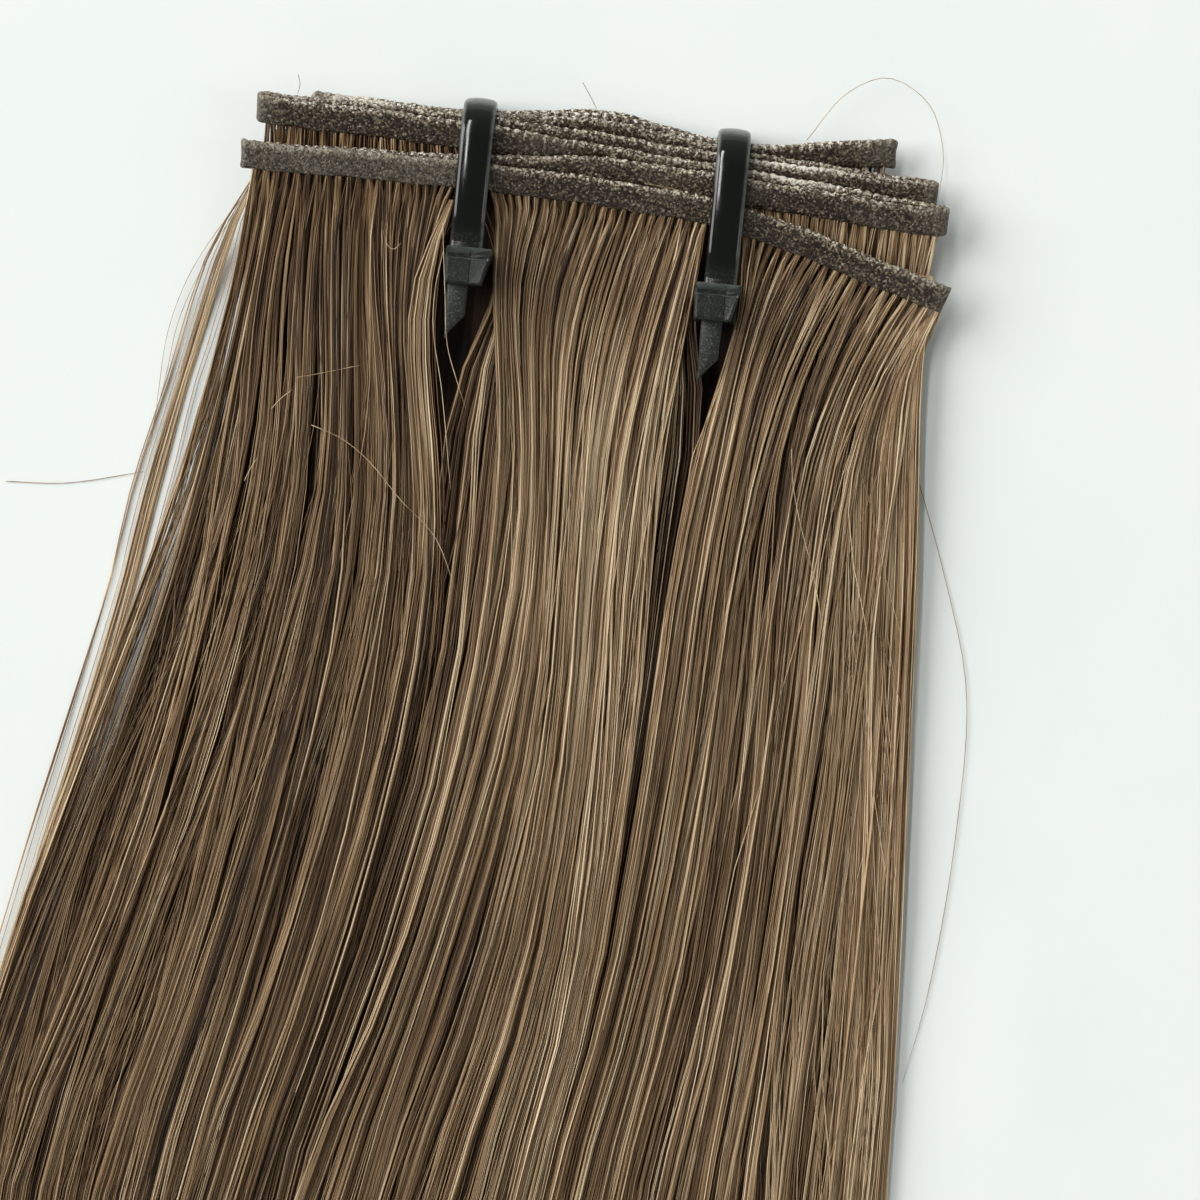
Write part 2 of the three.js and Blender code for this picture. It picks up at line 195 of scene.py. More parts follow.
def sweep_frames(path, upright):
    """At each point of a path: the direction across it nearest to upright, and the one square to that."""
    along = np.gradient(path, axis=0)
    along /= np.linalg.norm(along, axis=1, keepdims=True)
    up = upright - (along @ upright)[:, None] * along
    up /= np.linalg.norm(up, axis=1, keepdims=True)
    return up, np.cross(along, up)


def length_along(path):
    """How far each point of a path is from its start."""
    steps = np.linalg.norm(np.diff(path, axis=0), axis=1)
    return np.concatenate([[0], np.cumsum(steps)])


def tube(name, rings, **values):
    """A closed mesh through rings of points: a grid rolled up, its seam welded and its ends filled. Named
    values, one for each point of each ring, become attributes of the mesh."""
    stations, around = rings.shape[:2]
    places = row_frame(rings)
    shape = bmesh.new()
    layers = {value: shape.verts.layers.float.new(value) for value in values}
    bmesh.ops.create_grid(shape, x_segments=stations - 1, y_segments=around, size=1.0)
    for vert in shape.verts:
        station = round((vert.co.x + 1) / 2 * (stations - 1))
        side = round((vert.co.y + 1) / 2 * around) % around
        vert.co = places[station, side]
        for value, layer in layers.items():
            vert[layer] = values[value][station, side]
    bmesh.ops.remove_doubles(shape, verts=shape.verts, dist=1e-7)
    bmesh.ops.holes_fill(shape, edges=[edge for edge in shape.edges if edge.is_boundary])
    bmesh.ops.recalc_face_normals(shape, faces=shape.faces)
    return finished(name, shape)


def finished(name, shape, rounded=True):
    """Turns a bmesh into an object of the scene, shaded round or flat."""
    mesh = bpy.data.meshes.new(name)
    shape.to_mesh(mesh)
    shape.free()
    mesh.polygons.foreach_set("use_smooth", np.full(len(mesh.polygons), rounded))
    return placed(name, mesh)


def placed(name, content):
    """An object of the scene that holds a mesh, a lamp or a lens."""
    piece = bpy.data.objects.new(name, content)
    bpy.context.scene.collection.objects.link(piece)
    return piece


def stands_for(piece, node, material):
    """Gives a piece its material and its place in the frame."""
    piece.data.materials.append(material)
    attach(piece, "root")
    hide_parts(node)


def seen(*colour):
    """A colour as the eye reads it, 0 to 255, as the linear values that a shader takes."""
    return tuple(((c / 255 + 0.055) / 1.055) ** 2.4 if c > 10 else c / 3295 for c in colour) + (1.0,)


class Finish:
    """A material under way: adds nodes, joins them and sets their plain values."""

    def __init__(self, name):
        self.material = bpy.data.materials.new(name)
        self.material.use_nodes = True
        self.tree = self.material.node_tree
        self.shader = self.tree.nodes["Principled BSDF"]

    def node(self, kind, inputs=(), **settings):
        node = self.tree.nodes.new(kind)
        for name, value in settings.items():
            setattr(node, name, value)
        for name, value in dict(inputs).items():
            self.put(node, name, value)
        return node

    def put(self, node, name, value):
        if isinstance(value, bpy.types.NodeSocket):
            self.tree.links.new(value, node.inputs[name])
        else:
            node.inputs[name].default_value = value

    def where(self):
        return self.node("ShaderNodeTexCoord").outputs["Object"]

    def attribute(self, name):
        return self.node("ShaderNodeAttribute", attribute_name=name).outputs["Fac"]

    def noise(self, where, scale, detail):
        inputs = {"Vector": where, "Scale": scale, "Detail": detail}
        return self.node("ShaderNodeTexNoise", inputs).outputs["Fac"]

    def bump(self, height, strength, distance):
        inputs = {"Height": height, "Strength": strength, "Distance": distance}
        return self.node("ShaderNodeBump", inputs).outputs[0]

    def clamp(self, value):
        return self.node("ShaderNodeClamp", {"Value": value}).outputs[0]

    def total(self, start, *terms):
        """A start value plus each other value times its weight."""
        for value, weight in terms:
            inputs = {0: value, 1: weight, 2: start}
            start = self.node("ShaderNodeMath", inputs, operation="MULTIPLY_ADD").outputs[0]
        return start

    def ramp(self, factor, *stops):
        node = self.node("ShaderNodeValToRGB", {"Fac": factor})
        elements = node.color_ramp.elements
        while len(elements) < len(stops):
            elements.new(0.5)
        for element, (place, colour) in zip(elements, stops):
            element.position = place
            element.color = colour
        return node.outputs["Color"]

    def blend(self, factor, first, second):
        return self.node("ShaderNodeMix", {0: factor, 6: first, 7: second}, data_type="RGBA").outputs[2]

    def surface(self, **values):
        for name, value in values.items():
            self.put(self.shader, name.replace("_", " "), value)


path, paleness, painted_glint, toothed = band_path()
up, side = sweep_frames(path, UP_BAND)
run = length_along(path)
waver = sum(row["height"] * np.sin(row["turn"] * run + row["start"]) for row in WAVERS)
path = path + up * waver[:, None]
section = stadium(BAND_HEIGHT, BAND_THICKNESS, round_steps=5, face_steps=3)
puff = 2 * STITCH_RELIEF * (np.abs(np.sin(math.pi * run / STITCH))[:, None] ** STITCH_ROUND - 0.5)
teeth = np.cos(2 * math.pi * run / EDGE_TOOTH)
at_top = ease(BAND_TOP - EDGE_TEETH, BAND_TOP, section[:, 0])
rise = section[:, 0] * (1 + puff / BAND_HEIGHT) + EDGE_RISE * np.outer(teeth, at_top)
bulge = section[:, 1] * (1 + puff / BAND_THICKNESS)
rings = path[:, None] + rise[..., None] * up[:, None] + bulge[..., None] * side[:, None]
# Painted highlight: the top edge of each pass is lighter, broken into teeth by the stitches and brightest at
# the highlight spots.
edge_highlight_mask = ease(BAND_TOP - EDGE_HIGHLIGHT[0], BAND_TOP - EDGE_HIGHLIGHT[1], section[:, 0])
weft_band = tube(
    "weft_band_sewn",
    rings,
    pale=np.outer(paleness, np.ones(len(section))),
    edge=np.outer(1 + toothed * teeth + painted_glint, edge_highlight_mask),
)

coat = Finish("speckled_coat")
where = coat.where()
beads = coat.node("ShaderNodeTexVoronoi", {"Vector": where, "Scale": 3600.0}, feature="F1").outputs
bead_tone = coat.node("ShaderNodeSeparateColor", {"Color": beads["Color"]}).outputs["Red"]
grit = coat.noise(where, scale=2600.0, detail=3.0)
# The edge attribute lays the painted highlight of the top edges over the speckle.
speckle = coat.total(-0.048, (bead_tone, 0.5), (grit, 0.5), (coat.attribute("edge"), 0.24))
wet = coat.ramp(
    speckle,
    (0.25, seen(26, 19, 14)),
    (0.48, seen(54, 43, 33)),
    (0.65, seen(98, 86, 69)),
    (0.83, seen(170, 160, 140)),
    (1.0, seen(226, 221, 206)),
)
dry = coat.ramp(speckle, (0.25, seen(58, 51, 41)), (0.8, seen(127, 119, 102)))
cloudy = coat.noise(where, scale=160.0, detail=2.0)
dryness = coat.clamp(coat.total(-0.8, (coat.attribute("pale"), 1.0), (cloudy, 1.6)))
bead_rise = coat.total(0.6, (beads["Distance"], -1.0))
coat.surface(
    Base_Color=coat.blend(coat.total(0.0, (dryness, 0.8)), wet, dry),
    Roughness=coat.total(0.2, (dryness, 0.4)),
    Normal=coat.bump(bead_rise, strength=0.6, distance=0.00012),
)
stands_for(weft_band, "weft_band", coat.material)


# The hair is sewn into the lower edge of every pass, gathered in each stitch and parted by the two ties.
# It is straight and fine, brown with lighter strands among it, and keeps together in wisps and tufts.
HAIR_LENGTH = 350.0
UNEVEN_TIPS = 4.0
SHORT_STRANDS = 60.0  # a few strands end up to this far before the tips
ROOT_DOWN = 4.0  # the front pass's lower edge, where the pass runs level
ROOT_FADE = 70.0  # below this the slope of the front pass no longer shows
ROOT_INSET = 0.4  # from the end of a pass
ROOT_GAP = 0.3  # below the band
ROOT_INSIDE = 0.6  # how far the strands reach up into the band
ROOT_SLANT = 0.25
ROOT_SLOPE = -0.35  # the hair leaves the leaning band downwards
ROOT_END = 16.0  # and from here on lies on the fall
GUIDED = 18.0  # from here on it keeps to the guides
TIE_CLEAR = 2.6  # from the middle of a tie to the nearest root
PARTING_REACH = 8.0  # a tie pushes the hair aside this far from it
SEAM_TURN = 0.4  # strands that reach a seam turn back this softly
STITCH_PINCH = dict(front=0.56, lower=0.82)  # share of a stitch that its strands fill at the band
BUNDLE_WIDTH = (1.0, 1.8)  # of the strands from one stitch, in stitches, once they have spread
BUNDLE_CLOSE = (15, 16, 30)  # how far down the bundles of each section have closed up
BUNDLE_RISE = 0.5
BUNDLE_DOME = 0.32
DOME_MIDDLE = 0.4
DOME_FLATTENS = dict(down=(5, 15), share=0.8)
LOOSENED = (8, 110)  # how far down strands start to drift apart, and when they have
LOCKED = (8, 45)  # the same for drawing together in locks
LOCK_RISE = dict(height=0.7, full=2.4)  # less where the fall is thinner
SLIM = 3.0  # where the fall is thinner than this, the bundles flatten
FLOOR_CLEAR = 0.15
WISPS_IN_TUFT = 2
STRAYS_AMONG = dict(share=0.09, reach=2.6, lift=0.3)
BRIGHT_AMONG = dict(share=0.06, tone=0.3)
RANK_SPREAD = 0.12  # how far the wisps of a tuft differ in rank, from 0 on top to 1 below
UNEVEN = dict(root=0.1, place=0.07, height=0.11, radius=0.28)  # from strand to strand
SWAY = dict(length=(100, 230), stitch=0.3, tuft=0.2)
LEAN_END = 16.0
# How much strands differ in their lean at the roots, their drift down the hair and their tone: by the stitch,
# tuft and wisp that they belong to, and by themselves.
LEAN = dict(tuft=0.36, wisp=0.1)
DRIFT = dict(stitch=0.9, tuft=0.6, wisp=0.16, strand=0.1)
OWN_TONE = dict(strand=0.1)
SHARED_TONE = dict(stitch=0.05, wisp=0.07, tuft=0.14)
# The middle tone, and painted shade: strands low in rank, at the edges of a bundle and low in a lock are
# darker, high bundles and the high parts of a lock lighter.
TONE_AND_SHADE = dict(middle=0.55, rank=-0.14, dome=-0.16, bundle=0.1, lift=0.14)
WARM = (-0.3, 0.25)  # middle and spread, so that few wisps are warm
GLINT = 0.11  # painted glints: how much the tone lightens and darkens along a few strands
GLINT_STRANDS = 6


def curves(names, rows):
    """Smooth curves of a table's other columns against its first."""
    columns = dict(zip(names.split(), zip(*rows)))
    first = columns.pop(next(iter(columns)))
    return {name: smooth(first, values) for name, values in columns.items()}


# Down the hair: its two outer sides, the seam under each tie, the thickness in the middle and the share of
# that left at the outer sides.
fall = curves(
    "down left seam_l seam_r right thick edge",
    [
        (4, -50.3, -17.6, 19.6, 51.8, 4.6, 0.80),
        (10, -50.4, -17.7, 19.6, 51.2, 4.6, 0.75),
        (17, -50.9, -17.9, 19.3, 50.6, 4.5, 0.70),
        (24, -51.9, -18.1, 18.4, 50.5, 4.5, 0.65),
        (31, -53.1, -18.3, 18.6, 50.8, 4.6, 0.60),
        (39, -54.6, -18.5, 17.0, 51.4, 4.6, 0.60),
        (48, -56.5, -18.9, 15.5, 52.1, 4.5, 0.58),
        (60, -58.9, -18.4, 14.9, 53.0, 4.5, 0.56),
        (80, -63.4, -19.2, 14.5, 54.0, 4.3, 0.54),
        (103, -70.1, -22.5, 13.4, 55.2, 4.1, 0.52),
        (121, -74.8, -26.1, 12.2, 56.1, 3.9, 0.50),
        (143, -78.8, -32.0, 8.8, 57.0, 3.6, 0.50),
        (220, -82.0, -43.0, 3.0, 58.0, 2.8, 0.45),
        (285, -78.0, -41.0, 3.0, 56.0, 2.1, 0.45),
        (350, -71.0, -38.0, 3.0, 50.0, 0.9, 0.50),
    ],
)
# Guides: the way that the hair takes from a few roots, in each section of the front pass and of those behind
# it. The first row gives the roots along the band.
FRONT_GUIDES = [
    curves(
        "down outer far middle near inner edge",
        [
            (0, -50.0, -44.0, -38.0, -29.0, -23.4, -17.6),
            (5, -50.1, -44.2, -38.1, -29.1, -23.8, -20.6),
            (10, -50.4, -44.8, -38.2, -29.4, -24.8, -21.9),
            (17, -51.0, -45.6, -37.8, -28.9, -25.4, -23.2),
            (25, -52.1, -46.0, -37.1, -27.8, -25.1, -23.2),
            (38, -54.4, -46.4, -35.8, -25.9, -22.9, -20.8),
            (56, -58.3, -48.4, -35.4, -24.9, -20.7, -18.4),
            (82, -65.0, -52.8, -38.6, -27.4, -22.2, -19.4),
            (118, -74.4, -61.0, -45.4, -33.4, -28.3, -25.5),
            (150, -79.6, -69.4, -52.5, -40.6, -35.8, -33.7),
            (220, -81.6, -73.0, -60.0, -49.0, -45.0, -43.0),
            (350, -70.6, -63.0, -52.0, -43.0, -40.0, -38.0),
        ],
    ),
    curves(
        "down left_edge left middle right inner right_edge",
        [
            (0, -17.6, -9.0, 0.0, 8.0, 15.8, 19.6),
            (5, -14.4, -8.3, -0.3, 7.3, 14.2, 16.9),
            (10, -13.7, -9.1, -1.4, 6.2, 13.3, 16.4),
            (17, -13.3, -9.5, -2.8, 4.8, 11.9, 15.8),
            (25, -12.2, -8.6, -3.4, 3.6, 10.4, 14.9),
            (38, -10.6, -6.5, -2.6, 2.9, 8.6, 14.1),
            (56, -10.2, -5.4, -1.7, 3.2, 8.2, 13.8),
            (82, -12.0, -7.6, -1.7, 3.6, 9.0, 14.0),
            (118, -18.7, -14.3, -6.7, 0.4, 7.4, 12.0),
            (150, -28.7, -22.1, -14.4, -6.6, 1.9, 6.6),
            (220, -38.0, -32.0, -24.0, -16.0, -3.0, 3.0),
            (350, -33.0, -28.0, -21.0, -14.0, -3.0, 3.0),
        ],
    ),
    curves(
        "down edge inner next middle outer far last right_edge",
        [
            (0, 19.6, 25.0, 31.0, 37.0, 43.0, 47.5, 50.0, 52.2),
            (5, 22.8, 26.8, 33.0, 39.0, 45.7, 51.2, 53.7, 54.6),
            (10, 22.9, 25.6, 30.9, 37.1, 43.6, 48.9, 51.5, 53.4),
            (17, 22.8, 24.2, 28.2, 34.5, 40.9, 45.5, 48.5, 51.2),
            (25, 21.3, 23.1, 26.1, 31.9, 38.2, 42.2, 45.3, 50.2),
            (38, 18.6, 21.6, 24.3, 29.4, 35.2, 39.0, 42.8, 50.8),
            (56, 16.3, 19.8, 22.6, 27.5, 34.5, 38.0, 42.4, 52.0),
            (82, 15.4, 18.6, 21.6, 26.4, 34.2, 38.4, 43.8, 53.4),
            (118, 12.8, 15.2, 18.4, 23.4, 32.0, 37.4, 44.4, 55.4),
            (150, 7.2, 9.6, 13.0, 18.6, 28.4, 35.0, 43.4, 56.4),
            (220, 3.0, 6.0, 10.0, 16.0, 26.0, 33.5, 42.5, 57.2),
            (350, 3.0, 5.5, 9.0, 14.0, 23.5, 30.5, 38.0, 49.4),
        ],
    ),
]
LOWER_GUIDES = [
    FRONT_GUIDES[0],
    curves(
        "down left_edge left middle right right_edge",
        [
            (0, -17.6, -9.0, 0.0, 8.0, 19.6),
            (5, -14.6, -8.6, 0.0, 7.8, 16.6),
            (10, -13.7, -8.8, -0.6, 7.4, 16.2),
            (17, -12.9, -9.4, -1.4, 6.6, 16.3),
            (25, -15.4, -9.6, -2.0, 6.0, 17.6),
            (33, -17.8, -9.6, -2.2, 5.6, 19.4),
            (40, -18.2, -9.6, -2.2, 5.6, 18.9),
            (56, -18.4, -9.6, -1.8, 5.6, 17.5),
            (82, -19.4, -10.6, -2.0, 5.4, 16.0),
            (118, -25.6, -17.0, -7.2, 2.0, 13.0),
            (150, -34.0, -25.0, -15.0, -5.0, 7.4),
            (220, -43.0, -32.0, -24.0, -13.0, 4.0),
            (350, -38.0, -28.0, -21.0, -12.0, 4.0),
        ],
    ),
    curves(
        "down edge inner middle outer right_edge",
        [
            (0, 19.6, 28.2, 37.0, 45.0, 51.4),
            (5, 22.2, 28.8, 37.0, 45.0, 51.2),
            (10, 22.6, 28.8, 36.9, 44.9, 50.8),
            (17, 22.6, 28.4, 36.6, 44.8, 50.2),
            (25, 21.4, 27.6, 36.2, 44.7, 50.1),
            (38, 19.2, 26.6, 35.7, 44.9, 51.0),
            (56, 17.7, 25.4, 35.4, 45.2, 52.3),
            (82, 16.1, 24.6, 35.0, 45.6, 53.7),
            (118, 13.2, 22.0, 33.0, 45.3, 55.6),
            (150, 7.6, 17.0, 30.0, 44.0, 56.8),
            (220, 4.0, 14.0, 27.0, 42.0, 57.6),
            (350, 4.0, 13.0, 25.0, 38.0, 49.6),
        ],
    ),
]
# Locks: strands draw together in waves of these widths, which lean as they go down and wander a little.
LOCK_WAVES = table(
    "width pull rise lean",
    [(2.3, 0.58, 0.16, 0.0045), (4.1, 0.52, 0.24, -0.003), (9.3, 0.35, 0.36, 0.0015)],
)
WANDERS = table("size across down start", [(1.4, 0.31, 0.0, 2), (0.6, 0.0, 0.021, 1), (0.45, 0.43, 0.052, 3)])
# Painted light and shade on the hair: lighter and darker stretches that stand for sheen along the crown,
# shade below the band and by the right seam, and light on its outer sides. Each comes in from one distance
# down to another, and from one x to another or about one x, with its width. Some are counted from the right
# seam.
# Painted sheen lies about the crown, and painted light along both outer sides of the fall.
CROWN_SHEEN = (4.0, 13.5)
EDGE_LIGHT = dict(tone=0.22, left=2.5, right=3.0)
LIGHT_AND_SHADE_ALL = [
    dict(tone=-0.05, down=(60, 10)),
    dict(tone=-0.09, down=(60, 10), across=(-5, -30)),
    dict(tone=0.31, down=(8, 36), about=CROWN_SHEEN),
    dict(tone=-0.248, down=(60, 120), about=CROWN_SHEEN),
    dict(tone=0.06, across=(15, 40)),
    dict(tone=-0.01, down=(80, 125), across=(20, 45)),
    dict(tone=-0.03, down=(80, 125), across=(-10, -40)),
]
LIGHT_AND_SHADE_FRONT = [dict(tone=0.16, down=(60, 30), about_seam=(-3.4, 2.5))]
LIGHT_AND_SHADE_LOWER = [
    dict(tone=-0.2, down=(120, 80), about_seam=(0.0, 2.6)),
    dict(tone=0.24, down=(14, 6)),
    dict(tone=0.12, down=(20, 50), across=(-40, -48)),
    dict(tone=0.26, down=(16, 26), across=(38, 45)),
]
# Points of a strand down the hair, closer together near the band, and then in shares of what is left.
FINE_STATIONS = [4, 5.5, 8, 11.5, 16, 21, 26.5, 33, 40, 49, 60, 72, 85, 98, 112, 126, 140, 154]
COARSE_STATIONS = [4, 6, 9.5, 15, 22, 30, 40, 53, 70, 90, 115, 145]
FAR_STATIONS = np.array([0.3, 0.65, 1.0])
rng = np.random.default_rng(11)
glints = np.random.default_rng(5)


def set_off(end, down):
    """Rises from 0 at the roots to 1, fast at first, so that strands leave the band at a slant."""
    t = np.clip((down - ROOT_DOWN) / (end - ROOT_DOWN), 0, 1)
    return t * (2 - t)


def flow(guides, root_x, down):
    """Where a strand lies across the fall: between the two guides that set off beside its root."""
    roots = [float(curve(0.0)) for curve in guides.values()]
    lines = [curve(down) for curve in guides.values()]
    x = lines[0]
    for i in range(len(roots) - 1):
        x = x + (lines[i + 1] - lines[i]) * np.clip((root_x - roots[i]) / (roots[i + 1] - roots[i]), 0, 1)
    return x


def hair_top(x, down):
    """How high the hair lies: thick along its middle, thin at its two sides."""
    left, right = fall["left"](down), fall["right"](down)
    side = np.clip(np.abs(2 * (x - left) / (right - left) - 1), 0, 1) ** 3
    thick = fall["thick"](down)
    locks_rise = LOCK_RISE["height"] * np.minimum(1, thick / LOCK_RISE["full"])
    return thick * (1 + (fall["edge"](down) - 1) * side) + locks_rise


def root_sides(index, section):
    """Where the roots of one section start and end along a pass."""
    left = PASSES[index]["left"] + ROOT_INSET
    right = PASSES[index]["right"] - ROOT_INSET
    return ((left, TIE_LEFT_X), (TIE_LEFT_X, TIE_RIGHT_X), (TIE_RIGHT_X, right))[section]


def tie_aside(root_x):
    """Roots beside a tie are pushed off its strap."""
    for tie_x in (TIE_LEFT_X, TIE_RIGHT_X):
        away = root_x - tie_x
        root_x = root_x + np.sign(away) * TIE_CLEAR * np.exp(-np.abs(away) / PARTING_REACH)
    return root_x


def turned_back(place, near, far):
    """Strands that would cross the seam at either side of their section turn back softly."""
    inward = place - near
    place = near + inward * np.tanh(inward / SEAM_TURN)
    inward = far - place
    return far - inward * np.tanh(inward / SEAM_TURN)


def pick(group, low, high):
    """A random value between two for each group, given to all its strands."""
    return rng.uniform(low, high, group[-1] + 1)[group, None]


def vary(groups, sizes):
    """A random amount for each strand, the sum of those of the groups that it belongs to."""
    amounts = [rng.normal(0, size, groups[level][-1] + 1)[groups[level]] for level, size in sizes.items()]
    return np.sum(amounts, axis=0)[:, None]


def sway(down, group, size):
    """Slow waves down the hair, the same for all strands of a group."""
    first = np.unique(group, return_index=True)[1]
    length = rng.uniform(*SWAY["length"], (len(first), 1))
    start = rng.uniform(0, 2 * math.pi, (len(first), 1))
    return (size * np.sin(2 * math.pi * down[first] / length + start))[group]


def locks(place, down):
    """How far a strand is drawn aside into its lock, and how far that lifts it."""
    aside = 0
    lift = 0
    for row, phase in zip(LOCK_WAVES, rng.uniform(0, 2 * math.pi, len(LOCK_WAVES))):
        turn = 2 * math.pi * (place / row["width"] + row["lean"] * down) + phase
        for wander in WANDERS:
            swing = wander["across"] * place + wander["down"] * down + wander["start"] * phase
            turn = turn + wander["size"] * np.sin(swing)
        aside = aside + row["pull"] * row["width"] / (2 * math.pi) * np.sin(turn)
        lift = lift - row["rise"] * np.cos(turn)
    return aside, lift


def hair_light_and_shade(x, down, shades):
    """How much painted light or painted shade lightens or darkens a strand, by where it lies in the fall."""
    from_left = np.maximum(x - fall["left"](down), 0)
    from_right = np.maximum(fall["right"](down) - x, 0)
    edges = np.exp(-from_left / EDGE_LIGHT["left"]) + np.exp(-from_right / EDGE_LIGHT["right"])
    tone = EDGE_LIGHT["tone"] * edges
    for row in shades:
        shade = row["tone"]
        if "down" in row:
            shade = shade * ease(*row["down"], down)
        if "across" in row:
            shade = shade * ease(*row["across"], x)
        if "about" in row:
            shade = shade * hump(*row["about"], x)
        if "about_seam" in row:
            shade = shade * hump(*row["about_seam"], x - fall["seam_r"](down))
        tone = tone + shade
    return tone


def grow(index, section, layer):
    """Strands of one section of one pass, as a row of the layers says: their paths, radii, tones and warmth.
    Each stitch sends out a bundle of tufts, each tuft is a few wisps, and each wisp a few strands."""
    near, far = root_sides(index, section)
    stitches = round((far - near) / STITCH)
    pitch = (far - near) / stitches
    wisps, radius = layer["wisps"], layer["radius"]
    total = stitches * wisps * layer["strands"]
    strand = np.arange(total)
    wisp = strand // layer["strands"]
    stitch = wisp // wisps
    tuft = stitch * math.ceil(wisps / WISPS_IN_TUFT) + wisp % wisps // WISPS_IN_TUFT
    groups = dict(stitch=stitch, tuft=tuft, wisp=wisp, strand=strand)

    reach = HAIR_LENGTH + vary(groups, dict(strand=UNEVEN_TIPS)) - SHORT_STRANDS * pick(strand, 0, 1) ** 4
    near_band = np.tile(layer["stations"], (total, 1))
    last = layer["stations"][-1]
    down = np.concatenate([near_band, last + (reach - last) * FAR_STATIONS], axis=1)
    loosened = ease(*LOOSENED, down)
    locked = ease(*LOCKED, down)

    # Where each strand would lie along the band, if the fall went straight down from it.
    bundle_wide = pick(stitch, *BUNDLE_WIDTH)
    bundle_level = pick(stitch, -0.5, 0.5)
    within = (wisp[:, None] % wisps + pick(wisp, 0, 1)) / wisps - 0.5
    lean = vary(groups, LEAN)
    rank = np.clip(pick(tuft, 0, 1) + pick(wisp, -RANK_SPREAD, RANK_SPREAD), 0, 1)
    stray = (pick(strand, 0, 1) < STRAYS_AMONG["share"]) * vary(groups, dict(strand=STRAYS_AMONG["reach"]))
    drift = vary(groups, DRIFT) + stray
    pinch = STITCH_PINCH["front" if index == FRONT else "lower"]
    spread = pinch + (bundle_wide - pinch) * set_off(BUNDLE_CLOSE[section], down)
    behind = 0.5 * ((index + 1) % 2)  # the bundles of one pass show between those of the next
    turn = stitch[:, None] + behind + within
    place = near + (turn + within * (spread - 1) + stitches * (turn < 0)) * pitch
    place = place + lean * set_off(LEAN_END, down) + drift * loosened
    place = place + vary(groups, dict(strand=UNEVEN["place"]))
    place = place + sum(sway(down, groups[level], SWAY[level]) for level in ("stitch", "tuft")) * loosened
    aside, lift = locks(place, down)

    # From its root at the band into the course of the fall.
    root_x = tie_aside(place[:, :1])
    root = on_pass(index, root_x[:, 0]) - UP_BAND * (BAND_TOP + ROOT_GAP)
    dome = (2 * within) ** 2 * (1 - DOME_FLATTENS["share"] * ease(*DOME_FLATTENS["down"], down))
    root[:, 2:] += vary(groups, dict(strand=UNEVEN["root"])) - BUNDLE_DOME * (dome[:, :1] - DOME_MIDDLE)
    droop = -root[:, 1:2] - ROOT_DOWN
    y = -down - droop * np.maximum(0, 1 - (down - ROOT_DOWN) / (ROOT_FADE - ROOT_DOWN))
    x = flow(layer["guides"][section], turned_back(place + aside * locked, near, far), -y)
    x = x + (root_x - x[:, :1]) * (1 - set_off(GUIDED, down))

    # How high it lies, in its layer of the fall.
    top, bottom = layer["depth"]
    level = top + (bottom - top) * rank
    slim = np.minimum(1, fall["thick"](down) / SLIM)
    laid = hair_top(x, down) * (1 - level) - BUNDLE_DOME * dome * slim + STRAYS_AMONG["lift"] * (stray != 0)
    laid = laid + (bundle_level * BUNDLE_RISE + lift) * locked * (1 - level) * slim
    laid = laid + vary(groups, dict(strand=UNEVEN["height"]))
    t = np.clip((down - ROOT_DOWN) / (ROOT_END - ROOT_DOWN), 0, 1)
    leave = (1 + 2 * t) * (1 - t) ** 2 * root[:, 2:]
    leave = leave + t * (1 - t) ** 2 * (ROOT_END - ROOT_DOWN) * ROOT_SLOPE
    z = np.maximum(leave + t**2 * (3 - 2 * t) * laid, max(FLOOR_CLEAR, 1.5 * radius))

    bright = vary(groups, OWN_TONE) + BRIGHT_AMONG["tone"] * (pick(strand, 0, 1) < BRIGHT_AMONG["share"])
    # Painted shade and light go into the tone here, together with the painted stretches of the fall.
    tone = TONE_AND_SHADE["middle"] + layer["shade"] + bright + vary(groups, SHARED_TONE) + TONE_AND_SHADE["rank"] * rank
    tone = tone + TONE_AND_SHADE["dome"] * dome**2 + (TONE_AND_SHADE["bundle"] * bundle_level + TONE_AND_SHADE["lift"] * lift) * locked
    tone = tone + hair_light_and_shade(x, down, LIGHT_AND_SHADE_ALL + (LIGHT_AND_SHADE_LOWER if top > 0 else LIGHT_AND_SHADE_FRONT))
    paths = np.stack([x, y, z], axis=-1)
    slant = (paths[:, :1] - paths[:, 1:2]) * [ROOT_SLANT, 0.0, 0.0]
    paths = np.concatenate([paths[:, :1] + ROOT_INSIDE * UP_BAND + slant, paths], axis=1)
    tone = np.concatenate([tone[:, :1], tone], axis=1)
    warm = np.maximum(0, rng.normal(*WARM, stitches * wisps))[wisp] * (top == 0)
    return paths, radius * rng.lognormal(0, UNEVEN["radius"], total), tone, warm


def strand_faces(count, points):
    """The corners of each face of strands with three sides: four along each side, then three at each end."""
    first = np.arange(count)[:, None, None] * points * 3
    low = first + np.arange(points - 1)[None, :, None] * 3
    high = low + 3
    here = np.arange(3)
    after = (here + 1) % 3
    quads = np.stack([high + here, high + after, low + after, low + here], axis=-1)
    start_caps = first[:, 0] + [0, 1, 2]
    end_caps = first[:, 0] + (points - 1) * 3 + [2, 1, 0]
    return quads, start_caps, end_caps


def strand_map(count, points):
    """The same corners on a flat map, with a cell for each strand: its sides, and its ends above them."""
    cells = math.ceil(math.sqrt(count))
    cell = np.stack(np.divmod(np.arange(count), cells), axis=1) / cells
    ring = np.arange(points - 1)[:, None]
    here = np.arange(3)
    u = np.stack([here, here + 1, here + 1, here], axis=-1) * 0.3 + 0.05
    v = np.stack([ring + 1, ring + 1, ring, ring], axis=-1) / points + 0.01
    sides = cell[:, None, None, None] + np.stack(np.broadcast_arrays(u, v), axis=-1) / cells
    cap = np.array([(0.1, 0.97), (0.3, 0.97), (0.2, 0.99)])
    caps = [cell[:, None] + (cap + [aside, 0.0]) / cells for aside in (0.0, 0.5)]
    return sides, *caps


